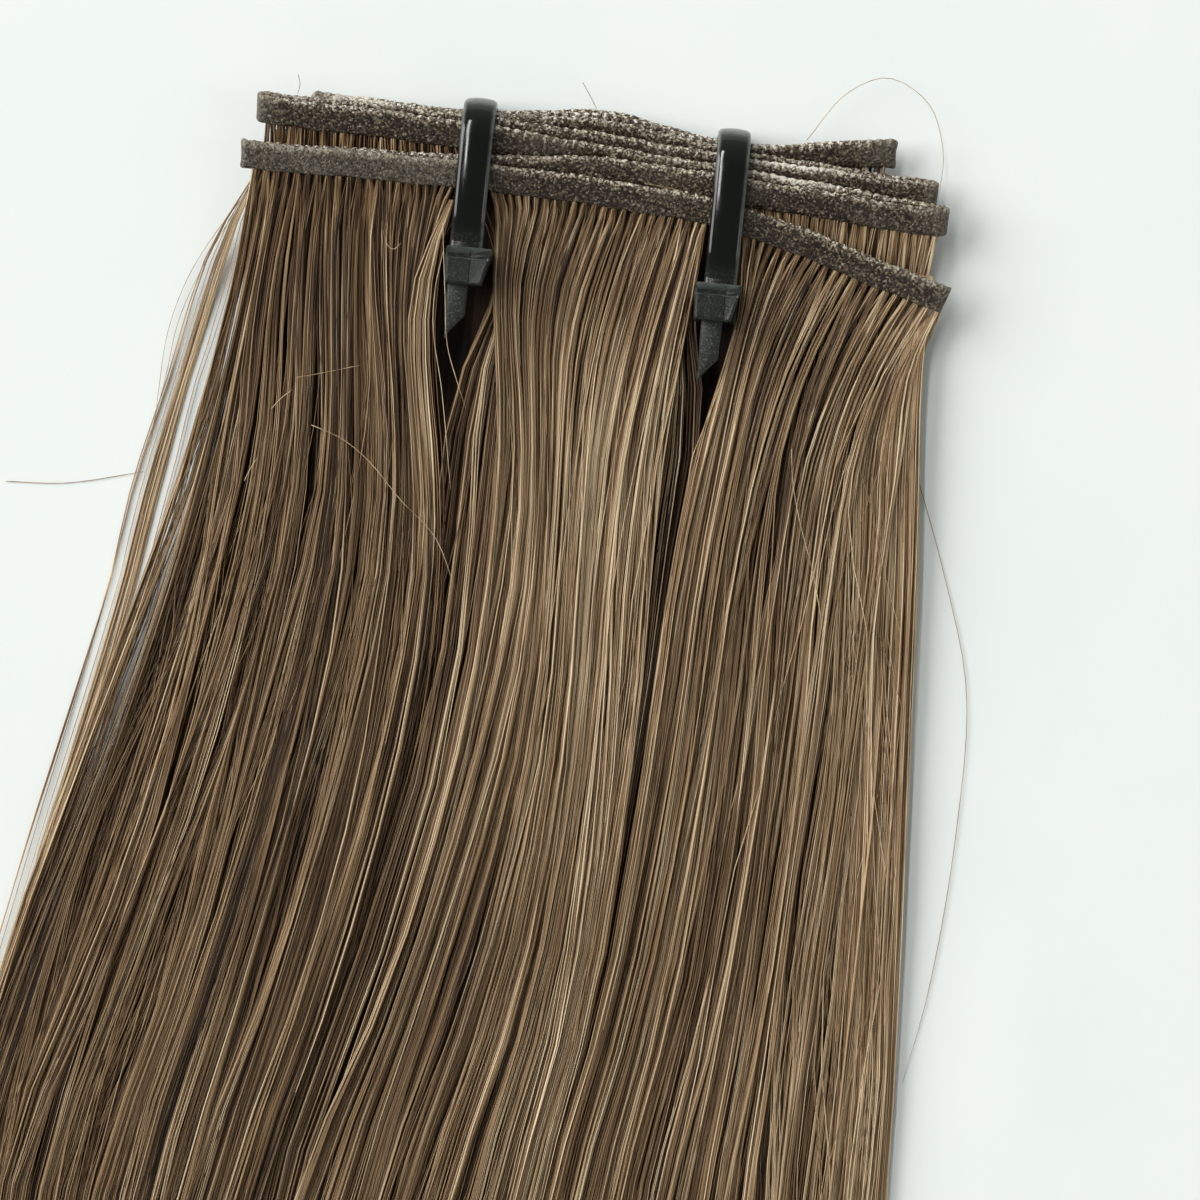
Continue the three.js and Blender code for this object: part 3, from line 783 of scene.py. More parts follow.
def strands_mesh(name, paths, radii, tone, warm):
    """Joins strands into one mesh: closed three-sided tubes, with their colour as attributes."""
    count, points = paths.shape[:2]
    glint = glints.normal(0, GLINT, (math.ceil(count / GLINT_STRANDS), points))
    tone = np.reshape(tone, (count, points)) + np.repeat(glint, GLINT_STRANDS, axis=0)[:count]
    along = np.gradient(paths, axis=1)
    along /= np.linalg.norm(along, axis=2, keepdims=True)
    side = np.cross(along, [0.0, 0.0, 1.0])
    side /= np.linalg.norm(side, axis=2, keepdims=True)
    up = np.cross(side, along)
    taper = np.interp(np.linspace(0, 1, points), [0, 0.8, 1], [1, 1, 0.35])
    thick = radii[:, None, None] * taper[None, :, None]
    turns = np.radians([90, 210, 330])
    rings = [paths + thick * (math.cos(turn) * side + math.sin(turn) * up) for turn in turns]
    verts = row_frame(np.stack(rings, axis=2)).reshape(-1, 3)
    faces = strand_faces(count, points)
    corners = np.concatenate([part.ravel() for part in faces])
    sizes = np.concatenate([np.full(part[..., 0].size, part.shape[-1]) for part in faces])
    unwrapped = np.concatenate([part.ravel() for part in strand_map(count, points)])

    mesh = bpy.data.meshes.new(name)
    mesh.vertices.add(len(verts))
    mesh.vertices.foreach_set("co", verts.ravel())
    mesh.loops.add(len(corners))
    mesh.loops.foreach_set("vertex_index", corners.astype(np.int32))
    mesh.polygons.add(len(sizes))
    mesh.polygons.foreach_set("loop_start", (np.cumsum(sizes) - sizes).astype(np.int32))
    mesh.polygons.foreach_set("use_smooth", np.ones(len(sizes), bool))
    for value, amounts in (("tone", np.repeat(tone.ravel(), 3)), ("warm", np.repeat(warm, points * 3))):
        mesh.attributes.new(value, "FLOAT", "POINT").data.foreach_set("value", amounts.astype(np.float32))
    mesh.uv_layers.new(name="OFBake").uv.foreach_set("vector", unwrapped.astype(np.float32))
    mesh.update(calc_edges=True)
    return placed(name, mesh)


hair = Finish("brown_hair")
strand_tone = hair.attribute("tone")
plain_brown = hair.ramp(
    strand_tone,
    (0.0, seen(34, 24, 15)),
    (0.25, seen(86, 64, 43)),
    (0.5, seen(144, 116, 82)),
    (0.75, seen(190, 161, 123)),
    (1.0, seen(230, 210, 174)),
)
warm_brown = hair.ramp(
    strand_tone,
    (0.0, seen(38, 22, 12)),
    (0.25, seen(96, 64, 39)),
    (0.5, seen(160, 116, 74)),
    (0.75, seen(200, 158, 109)),
    (1.0, seen(236, 208, 160)),
)
hair.surface(
    Base_Color=hair.blend(hair.clamp(hair.attribute("warm")), plain_brown, warm_brown),
    Roughness=0.4,
    Specular_IOR_Level=0.4,
)

# The pieces that the strands are joined in: the passes and sections that each takes in, its guides and
# points, wisps in a stitch, strands in a wisp, the layer of the fall that it fills from the top, the radius
# of its strands and how much painted shade darkens them, the deeper the layer the more.
HAIR_PIECES = table(
    "name passes sections guides stations wisps strands depth radius shade",
    [
        ("hair_front_left", (6,), (0,), FRONT_GUIDES, FINE_STATIONS, 15, 4, (0.0, 0.25), 0.068, 0.0),
        ("hair_front_middle", (6,), (1,), FRONT_GUIDES, FINE_STATIONS, 15, 4, (0.0, 0.25), 0.068, 0.0),
        ("hair_front_right", (6,), (2,), FRONT_GUIDES, FINE_STATIONS, 15, 4, (0.0, 0.25), 0.068, 0.0),
        ("hair_second", (5,), (0, 1, 2), LOWER_GUIDES, COARSE_STATIONS, 9, 3, (0.2, 0.45), 0.076, -0.09),
        ("hair_third", (4, 3), (0, 1, 2), LOWER_GUIDES, COARSE_STATIONS, 8, 1, (0.45, 0.7), 0.12, -0.2),
        ("hair_back", (2, 1, 0), (0, 1, 2), LOWER_GUIDES, COARSE_STATIONS, 2, 1, (0.65, 0.97), 0.24, -0.32),
    ],
)
for row in HAIR_PIECES:
    grown = [grow(index, section, row) for index in row["passes"] for section in row["sections"]]
    joined = [np.concatenate(parts) for parts in zip(*grown)]
    stands_for(strands_mesh(row["name"], *joined), "hair", hair.material)


# The heart of the fall stands for the hair packed under the strands, and its colour is painted shade: dark
# brown, and near black in the hollow under each tie. It is one closed body that lies on the floor from under
# the band to near the tips, hollow under each tie.
CORE_DEPTH = 0.48  # share of the fall's height above the heart
CORE_ACROSS = 130
CORE_LEVELS = np.concatenate([np.arange(22, 60, 4.0), np.arange(60, 316, 12.0)])
CORE_INSET = dict(left=4.0, right=4.5, tips=12.0)
CORE_NARROWS = (220, 310)
CORE_THINS = dict(down=(240, 312), share=0.8)
CORE_RIPPLE = dict(height=0.12, turn=2.1)
CORE_HOLLOW = dict(width=4.0, floor=0.9, closes=(44, 26))
CORE_REAR = (6, 0)  # behind the band the heart shows as plain brown hair
CORE_LEAST = 0.3
CORE_BOTTOM = 0.1
# Down the head of the heart: its two sides and its top, until the fall's own shape takes over.
CORE_HEAD = table(
    "down left right top",
    [
        (-4.2, -43.0, 42.0, 0.8),
        (-3.3, -47.4, 45.0, 1.1),
        (2, -48.6, 48.4, 1.8),
        (9, -49.0, 48.8, 2.5),
        (16, -49.0, 48.0, 2.8),
    ],
)


def core_ring(down, left, right, top=None):
    """One ring of the heart, and how far into a hollow each of its points lies, where painted shade turns it
    near black.
    """
    x = np.linspace(left, right, CORE_ACROSS)
    ripple = CORE_RIPPLE["height"] * np.sin(CORE_RIPPLE["turn"] * x)
    height = np.full_like(x, top) if top else hair_top(x, down) * (1 - CORE_DEPTH) + ripple
    height = height * (1 - CORE_THINS["share"] * ease(*CORE_THINS["down"], down))
    deep = np.zeros_like(x)
    for seam in ("seam_l", "seam_r"):
        opened = hump(fall[seam](down), CORE_HOLLOW["width"], x) * ease(*CORE_HOLLOW["closes"], down)
        height = height - (height - CORE_HOLLOW["floor"]) * opened
        deep = np.maximum(deep, opened)
    y = np.full_like(x, -down)
    upper = np.stack([x, y, np.maximum(height, CORE_LEAST)], axis=1)
    lower = np.stack([x[::-1], y, np.full_like(x, CORE_BOTTOM)], axis=1)
    return np.concatenate([upper, lower]), np.concatenate([deep, deep[::-1]])


core_rows = list(CORE_HEAD)
for down in CORE_LEVELS:
    narrower = CORE_INSET["tips"] * ease(*CORE_NARROWS, down)
    left = fall["left"](down) + CORE_INSET["left"] + narrower
    right = fall["right"](down) - CORE_INSET["right"] - narrower
    core_rows.append(dict(down=down, left=left, right=right))
rings, deep = (np.array(part) for part in zip(*[core_ring(**row) for row in core_rows]))
rear = np.outer([ease(*CORE_REAR, row["down"]) for row in core_rows], np.ones(2 * CORE_ACROSS))
hair_shade_core = tube("hair_shade_core", rings, deep=deep, rear=rear)

heart = Finish("painted_shade_heart_of_the_hair")
stretched = heart.node("ShaderNodeMapping", {"Vector": heart.where(), "Scale": (1500.0, 30.0, 300.0)})
streaks = heart.noise(stretched.outputs[0], scale=1.0, detail=3.0)
shaded_brown = heart.ramp(streaks, (0.35, seen(26, 17, 11)), (0.7, seen(74, 54, 37)))
brown = heart.ramp(streaks, (0.35, seen(60, 43, 29)), (0.7, seen(134, 107, 76)))
shade_or_rear = heart.blend(heart.attribute("rear"), shaded_brown, brown)
# Painted shade: dark brown, near black in the hollows, and plain brown only where the heart shows behind the
# band.
heart.surface(
    Base_Color=heart.blend(heart.attribute("deep"), shade_or_rear, seen(9, 7, 5)),
    Roughness=0.8,
    Specular_IOR_Level=0.1,
    Normal=heart.bump(streaks, strength=0.6, distance=0.0004),
)
stands_for(hair_shade_core, "hair", heart.material)


# A thin lock at the far left has come loose, a light one bends round the left tie, and another runs down the
# right edge. Single hairs stray over the band, the fall and the floor. All of it is the same brown hair.
LOOSE_LOCK = curves(
    "down x z width",
    [
        (3, -48.6, 5.0, 0.8),
        (7, -50.4, 4.2, 0.9),
        (11, -51.9, 3.2, 1.1),
        (18, -53.8, 1.3, 1.5),
        (27, -55.7, 0.5, 1.6),
        (36, -57.6, 0.4, 1.5),
        (45, -59.3, 0.4, 1.9),
        (54, -60.9, 0.4, 2.0),
        (63, -62.2, 0.4, 1.9),
        (76, -64.6, 0.4, 2.0),
        (90, -67.5, 0.6, 2.0),
        (105, -70.6, 0.8, 2.0),
        (150, -78.0, 0.7, 2.4),
        (230, -81.0, 0.6, 3.0),
        (330, -74.0, 0.4, 4.0),
    ],
)
TIE_LOCK = curves(
    "down x z width",
    [
        (4.6, -20.3, 6.9, 0.4),
        (8, -21.1, 6.4, 0.6),
        (11.5, -22.3, 6.0, 0.8),
        (17.5, -23.2, 5.6, 1.0),
        (24, -23.2, 5.5, 1.1),
        (31, -22.3, 5.5, 1.1),
        (44, -20.0, 5.4, 1.1),
        (52, -18.9, 5.1, 1.0),
        (66, -18.7, 4.5, 1.4),
        (84, -20.2, 3.6, 2.0),
        (150, -34.0, 2.2, 3.0),
        (330, -38.0, 0.6, 4.0),
    ],
)
RIGHT_LOCK = curves(
    "down x z width",
    [
        (9, 49.9, 4.1, 2.6),
        (13, 49.9, 4.0, 2.6),
        (17, 49.6, 3.9, 2.6),
        (27, 49.4, 3.8, 2.7),
        (37, 49.9, 3.7, 2.8),
        (51, 51.0, 3.5, 2.8),
        (75, 52.3, 3.2, 2.8),
        (100, 53.6, 2.8, 2.8),
        (143, 55.6, 1.9, 2.8),
        (220, 56.6, 1.3, 3.0),
        (330, 50.6, 0.6, 4.0),
    ],
)
# Groups of strands in a lock: how many, how far aside on each side in widths of the lock, how deep they heap
# up, and their tone.
LOOSE_GROUPS = table(
    "strands low high heap tone",
    [(40, -0.5, 0.5, 0.3, 0.72), (2, 0.8, 1.4, 0.2, 0.7), (4, -1.7, -0.7, 0.2, 0.6)],
)
TIE_GROUPS = table(
    "strands low high heap tone",
    [(20, -0.6, 0.6, 0.9, 0.72), (16, -1.8, -0.4, 0.6, 0.56), (8, 0.6, 1.8, 0.8, 0.42)],
)
RIGHT_GROUPS = table("strands low high heap tone", [(230, -1.0, 0.5, 1.9, 0.72), (150, -2.8, -1.0, 0.6, 0.6)])
LOCK_STATIONS = np.append(np.linspace(5, 105, 18), np.linspace(130, 330, 5))
# The locks: the points down each of them, and over what length it opens to its full width.
LOCK_PIECES = table(
    "name lock groups stations opens",
    [
        ("hair_loose_lock", LOOSE_LOCK, LOOSE_GROUPS, np.append(3, LOCK_STATIONS), 12),
        ("hair_lock_by_tie", TIE_LOCK, TIE_GROUPS, LOCK_STATIONS, 12),
        ("hair_right_edge", RIGHT_LOCK, RIGHT_GROUPS, np.append(9, LOCK_STATIONS[1:]), 34),
    ],
)
LOCK_CLOSED = 0.4  # share of its width at the start
LOCK_SWAY = dict(size=0.22, length=(14, 34))
LOCK_TIPS = dict(down=(120, 330), uneven=(-30, 15))
LOCK_TONE_SPREAD = 0.2
LOCK_RADIUS = dict(middle=0.07, spread=0.25)
LOCK_WARM = (-0.15, 0.35)


def lock_of_hair(name, lock, groups, stations, opens):
    """A lock along its own curves, made of groups of strands."""
    down = stations
    count = sum(row["strands"] for row in groups)
    aside = np.concatenate([rng.uniform(row["low"], row["high"], row["strands"]) for row in groups])[:, None]
    sunk = np.concatenate([rng.uniform(0, row["heap"], row["strands"]) for row in groups])[:, None]
    tone = np.concatenate([rng.normal(row["tone"], LOCK_TONE_SPREAD, row["strands"]) for row in groups])
    apart = ease(down[0], down[0] + opens, down)
    wave = np.sin(down / rng.uniform(*LOCK_SWAY["length"], (count, 1)) + rng.uniform(0, 6, (count, 1)))
    width = lock["width"](down) * (LOCK_CLOSED + (1 - LOCK_CLOSED) * apart)
    x = lock["x"](down) + aside * width + LOCK_SWAY["size"] * wave * apart
    z = np.maximum(lock["z"](down) - sunk * apart, FLOOR_CLEAR)
    y = -down - rng.uniform(*LOCK_TIPS["uneven"], (count, 1)) * ease(*LOCK_TIPS["down"], down)
    radii = LOCK_RADIUS["middle"] * rng.lognormal(0, LOCK_RADIUS["spread"], count)
    warm = np.maximum(0, rng.normal(*LOCK_WARM, count))
    return strands_mesh(name, np.stack([x, y, z], axis=-1), radii, np.repeat(tone, len(down)), warm)


for row in LOCK_PIECES:
    stands_for(lock_of_hair(**row), "hair", hair.material)

# Single hairs, each by its height, its tone and a few points that it passes.
STRAYS = table(
    "z tone points",
    [
        (2.5, 0.7, [(30.2, 9.1), (35.6, 16.7), (41.2, 19.4), (47.4, 16.3), (50.3, 9.3), (50.2, 2.0)]),
        (0.2, 0.6, [(-81.9, -51.9), (-73.2, -51.3), (-61.8, -48.5)]),
        (0.3, 0.6, [(51.0, -37.4), (55.9, -50.1), (61.5, -68.5), (62.1, -88.9), (60.2, -114), (57.8, -127)]),
        (6.4, 0.95, [(-29.4, -11.2), (-29.3, -12.1), (-28.2, -12.9), (-27.1, -11.9)]),
        (5.2, 1.0, [(-43.7, -37.7), (-42.4, -36.0), (-40.9, -34.6)]),
        (5.0, 1.0, [(-46.6, -48.5), (-45.9, -46.7), (-45.0, -44.9)]),
        (5.8, 0.7, [(-40.3, -32.8), (-36.1, -31.6), (-30.6, -29.9)]),
        (6.2, 0.85, [(-37.6, -39.5), (-33.1, -41), (-28.9, -43.8), (-23.7, -49), (-18.1, -54), (-14.1, -62)]),
        (5.9, 0.85, [(32.3, -36.2), (33, -41.2), (34.9, -47.7), (36.7, -52.5), (38.3, -57.8), (39.7, -63.4)]),
        (5.9, 0.9, [(22.5, -19.7), (21.2, -27.3), (19.0, -35.3), (18.0, -39.0), (17.8, -44.3)]),
        (11.0, 0.9, [(-21.2, -8.8), (-19.9, -18.8), (-18.8, -26.4), (-17.0, -31.2), (-15.3, -35.1)]),
        (3.4, 0.5, [(-44.7, 11.4), (-44.3, 10.0), (-44.5, 8.5)]),
        (3.4, 0.5, [(-3.2, 14.3), (-1.9, 12.4), (-0.7, 10.5)]),
        (0.6, 0.7, [(-51.3, -7), (-55.4, -13.8), (-58.2, -19.7), (-60.3, -27.7), (-60.8, -36), (-60.9, -42)]),
        (0.6, 0.7, [(-52.4, -9.5), (-55.7, -16.6), (-58.9, -26), (-60, -34.7), (-60.9, -40), (-62.2, -50)]),
        (6.2, 1.0, [(-20.9, -12.1), (-21.6, -18.2), (-21.3, -23.9), (-19.3, -32.2), (-16.5, -46.9)]),
        (8.2, 0.7, [(7.3, 0.0), (11.3, -0.4), (15.5, -1.4)]),
    ],
)
STRAY_POINTS = 24
STRAY_RADIUS = 0.06
stray_paths = []
for row in STRAYS:
    points = np.array(row["points"], float)
    far = length_along(points)
    steps = np.linspace(0, far[-1], STRAY_POINTS)
    x, y = smooth(far, points[:, 0])(steps), smooth(far, points[:, 1])(steps)
    stray_paths.append(np.stack([x, y, np.full(STRAY_POINTS, row["z"])], axis=1))
strays = strands_mesh(
    "hair_strays",
    np.array(stray_paths),
    radii=np.full(len(STRAYS), STRAY_RADIUS),
    tone=np.repeat([row["tone"] for row in STRAYS], STRAY_POINTS),
    warm=np.zeros(len(STRAYS)),
)
stands_for(strays, "hair", hair.material)


# Two nylon cable ties hold the folded band: a strap with teeth inside goes round the pile and through the
# slot of its own head, with the tail beyond. The strap is glossy black, its head and tail dull.
# Painted reflections turn the strap grey where it bends up to its crest and along its shoulders, and a
# painted highlight lies on the rim of each head.
STRAP_WIDTH = 4.8
STRAP_THICKNESS = 1.3
STRAP_STEP = 0.28
STRAP_CORNER = 0.28
STRAP_FLAT = 1.75  # half the width of the outer face
STRAP_CROWN = 0.16  # that face falls this far to its shoulders
STRAP_SHOULDER = 0.9  # radius of the shoulders
STRAP_FLOOR_BEND = 1.8
STRAP_CREST_BEND = 6.0
STRAP_DROPS = dict(slowly=0.4, suddenly=0.6)  # shares of its drop from the crest to the slot
STRAP_FOOT = 1.0  # the strap has come down this far behind the head
NECK_INSET = 0.5
NECK_HIDDEN = 1.0  # the neck starts inside the head
TOOTH_PITCH = 1.1
TOOTH_DEPTH = 0.22
TEETH_END = 0.6  # in half widths of the strap
RIM_START = 0.66
SHEEN_ON_SHOULDERS = (0.76, 0.9)  # in half widths: where the painted reflection on the shoulders starts, and where it is full
SHEEN_STRENGTH = 0.7
BEND_REFLECTION = dict(facing_back=(0.72, 0.95), below_crest=(9, 6))  # painted reflection where the strap faces back as it bends up to its crest
LEFT_SHEEN = (11, 6)  # in front of the tie's back: where the left shoulder has the painted reflection like the right one
FOOT_DULL = dict(behind_head=(3.2, 1.4), amount=0.35)
TAIL_WIDTH = 3.1
TAIL_TIP = 2.7
TAIL_DROP = 2.6
TAIL_ASIDE = -0.7
TAIL_HIDDEN = (3.0, 0.5)  # behind the front of the head, where the tail narrows
TAIL_STRAIGHT = dict(start=0.5, share=0.6)
TAIL_CUT = dict(length=3.0, most=0.85)  # the slanting cut at its end
HEAD_WIDTH = 6.9
HEAD_LENGTH = 5.5
HEAD_DEPTH = 5.6
HEAD_ABOVE_SLOT = 2.3
HEAD_TAPER = dict(left=0.92, right=0.62)  # the front of the head is narrower
HEAD_EDGE = 0.4
HEAD_CHAMFER = 1.1
HEAD_LINES = dict(across=1.0, along=0.9, width=0.14, depth=0.16, below_top=0.05)
HEAD_DULL = 0.5
# A painted highlight along the back rim of the head and beside its groove across: how pale, and how near.
HEAD_RIM_HIGHLIGHT = dict(pale=0.5, within=0.1, beside_line=0.01)
SLOT_DROP = 1.5
SLOT_CLEAR = 0.3
TIES = table(
    "node x back head_back head_aside tail",
    [
        ("tie_left", TIE_LEFT_X, TIE_LEFT_BACK, -11.8, 0.6, 7.4),
        ("tie_right", TIE_RIGHT_X, 9.7, -13.5, -0.2, 8.4),
    ],
)


def arc(middle, radius, start, end, steps=12):
    """Points round part of a circle, by its angles in degrees."""
    turns = np.radians(np.linspace(start, end, steps))
    return [(middle[0] + radius * math.cos(turn), middle[1] + radius * math.sin(turn)) for turn in turns]


def evenly(points, step):
    """A polyline cut into even steps."""
    points = np.array(points, float)
    far = length_along(points)
    places = np.linspace(0, far[-1], round(far[-1] / step))
    return np.stack([np.interp(places, far, points[:, i]) for i in range(points.shape[1])], axis=1)


def strap_route(row, crest, slot):
    """The strap's middle in the plane of the tie, as (y, z) from its neck round the pile to its tail."""
    half = STRAP_THICKNESS / 2
    neck = row["head_back"] - half - NECK_INSET
    rear = row["back"] - half
    floor_z = half + STRAP_FLOOR_BEND
    route = [(neck, slot + HEAD_ABOVE_SLOT - HEAD_DEPTH + NECK_HIDDEN)]
    route += arc((neck + STRAP_FLOOR_BEND, floor_z), STRAP_FLOOR_BEND, 180, 270)
    route += arc((rear - STRAP_FLOOR_BEND, floor_z), STRAP_FLOOR_BEND, -90, 0)
    route += arc((rear - STRAP_CREST_BEND, crest - STRAP_CREST_BEND), STRAP_CREST_BEND, 0, 90, 20)
    top = rear - STRAP_CREST_BEND
    foot = row["head_back"] + STRAP_FOOT
    for t in np.linspace(0.05, 1, 20):
        drop = STRAP_DROPS["slowly"] * t**2 + STRAP_DROPS["suddenly"] * t**8
        route.append((top + (foot - top) * t, crest - (crest - slot) * drop))
    head_front = row["head_back"] - HEAD_LENGTH
    start = np.array([head_front - TAIL_STRAIGHT["start"], slot])
    control = np.array([head_front - TAIL_STRAIGHT["share"] * row["tail"], slot])
    end = np.array([head_front - row["tail"], slot - TAIL_DROP])
    bend = np.linspace(0, 1, 12)
    route += [tuple((1 - t) ** 2 * start + 2 * t * (1 - t) * control + t**2 * end) for t in bend]
    return evenly(route, STRAP_STEP)


def rounded_strap():
    """The strap's section as (across, out) pairs: a crowned outer face, and tight inner corners."""
    half_width, half_thick = STRAP_WIDTH / 2, STRAP_THICKNESS / 2
    crown = np.linspace(STRAP_FLAT, -STRAP_FLAT, 9)
    face = [(x, half_thick - STRAP_CROWN * (x / STRAP_FLAT) ** 2) for x in crown]
    turn = math.atan(2 * STRAP_CROWN / STRAP_FLAT)
    middle_x = STRAP_FLAT - STRAP_SHOULDER * math.sin(turn)
    middle_z = half_thick - STRAP_CROWN - STRAP_SHOULDER * math.cos(turn)
    first = math.degrees(math.acos(min(1.0, (half_width - middle_x) / STRAP_SHOULDER)))
    right_shoulder = arc((middle_x, middle_z), STRAP_SHOULDER, first, 89 - math.degrees(turn), 6)
    left_shoulder = [(-x, z) for x, z in reversed(right_shoulder)]
    across, out = half_width - STRAP_CORNER, half_thick - STRAP_CORNER
    left_corner = arc((-across, -out), STRAP_CORNER, 180, 270, 5)
    right_corner = arc((across, -out), STRAP_CORNER, 270, 360, 5)
    shares = (-RIM_START, -TEETH_END, 0, TEETH_END, RIM_START)
    inner = [(share * half_width, -half_thick) for share in shares]
    return np.array(right_shoulder + face + left_shoulder + left_corner + inner + right_corner)


def tie_strap(row, top):
    """The strap of one tie, drawn through its slot, with its teeth and its cut tail."""
    slot = top - HEAD_ABOVE_SLOT
    crest = slot + SLOT_DROP
    route = strap_route(row, crest, slot)
    path = np.concatenate([np.full((len(route), 1), row["x"]), route], axis=1)
    across, out = sweep_frames(path, np.array([1.0, 0.0, 0.0]))
    section = rounded_strap()
    aside = section[:, 0] / (STRAP_WIDTH / 2)
    toothed = (section[:, 1] < -0.9 * STRAP_THICKNESS / 2) & (np.abs(aside) < (TEETH_END + RIM_START) / 2)
    shoulders = ease(*SHEEN_ON_SHOULDERS, np.abs(aside)) * (section[:, 1] > 0)

    past_head = np.linspace(0, 1, len(route)) > 0.5
    before_head = route[:, 0] - row["head_back"]
    before_front = before_head + HEAD_LENGTH
    tail = past_head * ease(*TAIL_HIDDEN, before_front)
    tip = past_head * ease(0.0, -row["tail"], before_front)
    width = 1 + (TAIL_WIDTH / STRAP_WIDTH - 1) * tail + (TAIL_TIP - TAIL_WIDTH) / STRAP_WIDTH * tip
    saw = (length_along(path) / TOOTH_PITCH) % 1.0
    rings = path[:, None] + section[None, :, :1] * across[:, None] * width[:, None, None]
    thick = section[:, 1] + toothed * TOOTH_DEPTH * saw[:, None]
    rings = rings + thick[..., None] * out[:, None]
    rings[..., 0] += TAIL_ASIDE * tail[:, None]
    left_side = row["x"] + TAIL_ASIDE - TAIL_TIP / 2
    cut = 1 - (before_front + row["tail"]) / TAIL_CUT["length"]
    cut = past_head * np.clip(cut, 0, TAIL_CUT["most"])
    rings[..., 0] += np.minimum(0, left_side - rings[..., 0]) * cut[:, None]

    # Painted reflection: grey where the strap faces back on its way up to the crest, and along its shoulders.
    bend_start, bend_full = (crest - below for below in BEND_REFLECTION["below_crest"])
    bent = ease(*BEND_REFLECTION["facing_back"], out[:, 1]) * ease(bend_start, bend_full, route[:, 1])
    foot = past_head * ease(*FOOT_DULL["behind_head"], before_head)
    upper = ease(row["back"] - LEFT_SHEEN[0], row["back"] - LEFT_SHEEN[1], route[:, 0])
    shoulder_sheen = np.outer(1 - tail, shoulders * (aside > 0))
    shoulder_sheen += np.outer(upper * (1 - tail), shoulders * (aside < 0))
    around = np.ones(len(section))
    dull = np.outer(np.maximum(tail, FOOT_DULL["amount"] * foot), around)
    pale = np.maximum(np.outer(bent, around), SHEEN_STRENGTH * shoulder_sheen)
    return tube(row["node"] + "_strap", rings, dull=dull, bent=pale)


def cut_through(shape, place, normal, **options):
    """Cuts a shape all round in a plane."""
    geometry = [*shape.verts, *shape.edges, *shape.faces]
    return bmesh.ops.bisect_plane(shape, geom=geometry, plane_co=place, plane_no=normal, dist=1e-5, **options)


def tie_head(row, top):
    """The head of one tie: a tapered block with a slot, a chamfer at its back and two fine grooves."""
    head = bmesh.new()
    bmesh.ops.create_cube(head, size=1.0)
    bmesh.ops.scale(head, vec=(HEAD_WIDTH, HEAD_LENGTH, HEAD_DEPTH), verts=head.verts)
    ends = [face for face in head.faces if abs(face.normal.y) > 0.9]
    bmesh.ops.inset_individual(head, faces=ends, thickness=1.0)
    slot_width, slot_height = STRAP_WIDTH + 2 * SLOT_CLEAR, STRAP_THICKNESS + 2 * SLOT_CLEAR
    slot_level = HEAD_DEPTH / 2 - HEAD_ABOVE_SLOT
    for vert in {vert for face in ends for vert in face.verts}:
        vert.co.x = math.copysign(slot_width / 2, vert.co.x)
        vert.co.z = slot_level + math.copysign(slot_height / 2, vert.co.z)
    rims = [edge for face in ends for edge in face.edges]
    rim_verts = {vert for edge in rims for vert in edge.verts}
    outer = [edge for edge in head.edges if not rim_verts & set(edge.verts)]
    bmesh.ops.delete(head, geom=ends, context="FACES_ONLY")
    bmesh.ops.bridge_loops(head, edges=rims)
    for vert in set(head.verts) - rim_verts:
        if vert.co.y < 0:
            vert.co.x *= HEAD_TAPER["left" if vert.co.x < 0 else "right"]
        vert.co.x += row["head_aside"]
    bevel = dict(offset_type="OFFSET", affect="EDGES", profile=0.5, material=-1)
    bmesh.ops.bevel(head, geom=outer, offset=HEAD_EDGE, segments=3, **bevel)
    corner = (0, HEAD_LENGTH / 2, HEAD_DEPTH / 2 - HEAD_CHAMFER)
    cut_through(head, corner, (0, 1, 1), clear_outer=True)
    bmesh.ops.holes_fill(head, edges=[edge for edge in head.edges if edge.is_boundary])
    for normal, place in (((0, 1, 0), HEAD_LINES["across"]), ((1, 0, 0), HEAD_LINES["along"])):
        for aside in (-1, 0, 1):
            made = cut_through(head, np.multiply(normal, place + aside * HEAD_LINES["width"]), normal)
            groove = made["geom_cut"] if aside == 0 else []
            for vert in [part for part in groove if isinstance(part, bmesh.types.BMVert)]:
                if vert.co.z > HEAD_DEPTH / 2 - HEAD_LINES["below_top"]:
                    vert.co.z -= HEAD_LINES["depth"]
    middle = (row["x"], row["head_back"] - HEAD_LENGTH / 2, top - HEAD_DEPTH / 2)
    bmesh.ops.translate(head, vec=middle, verts=head.verts)
    # The head is dull, with a painted highlight along its back rim and beside its groove across.
    dull, pale = (head.verts.layers.float.new(value) for value in ("dull", "bent"))
    line = HEAD_LENGTH / 2 - HEAD_LINES["across"]
    for vert in head.verts:
        from_back = row["head_back"] - vert.co.y
        rim = from_back < HEAD_RIM_HIGHLIGHT["within"] or abs(from_back - line) < HEAD_RIM_HIGHLIGHT["beside_line"]
        vert[dull] = HEAD_DULL
        vert[pale] = HEAD_RIM_HIGHLIGHT["pale"] if rim and vert.co.z > top - HEAD_CHAMFER - HEAD_RIM_HIGHLIGHT["within"] else 0.0
        vert.co = row_frame(vert.co)
    # With the slot through it, the block sometimes comes out of this with all its faces turned inwards.
    bmesh.ops.recalc_face_normals(head, faces=head.faces)
    if head.calc_volume(signed=True) < 0:
        bmesh.ops.reverse_faces(head, faces=head.faces)
    return finished(row["node"] + "_head", head, rounded=False)


nylon = Finish("black_nylon")
where = nylon.where()
dull = nylon.attribute("dull")
grain = nylon.noise(where, scale=3200.0, detail=5.0)
scuffs = nylon.noise(where, scale=600.0, detail=6.0)
charcoal = nylon.ramp(grain, (0.3, seen(20, 22, 20)), (0.55, seen(44, 47, 43)), (0.75, seen(92, 96, 90)))
black = nylon.blend(dull, seen(13, 15, 12), charcoal)
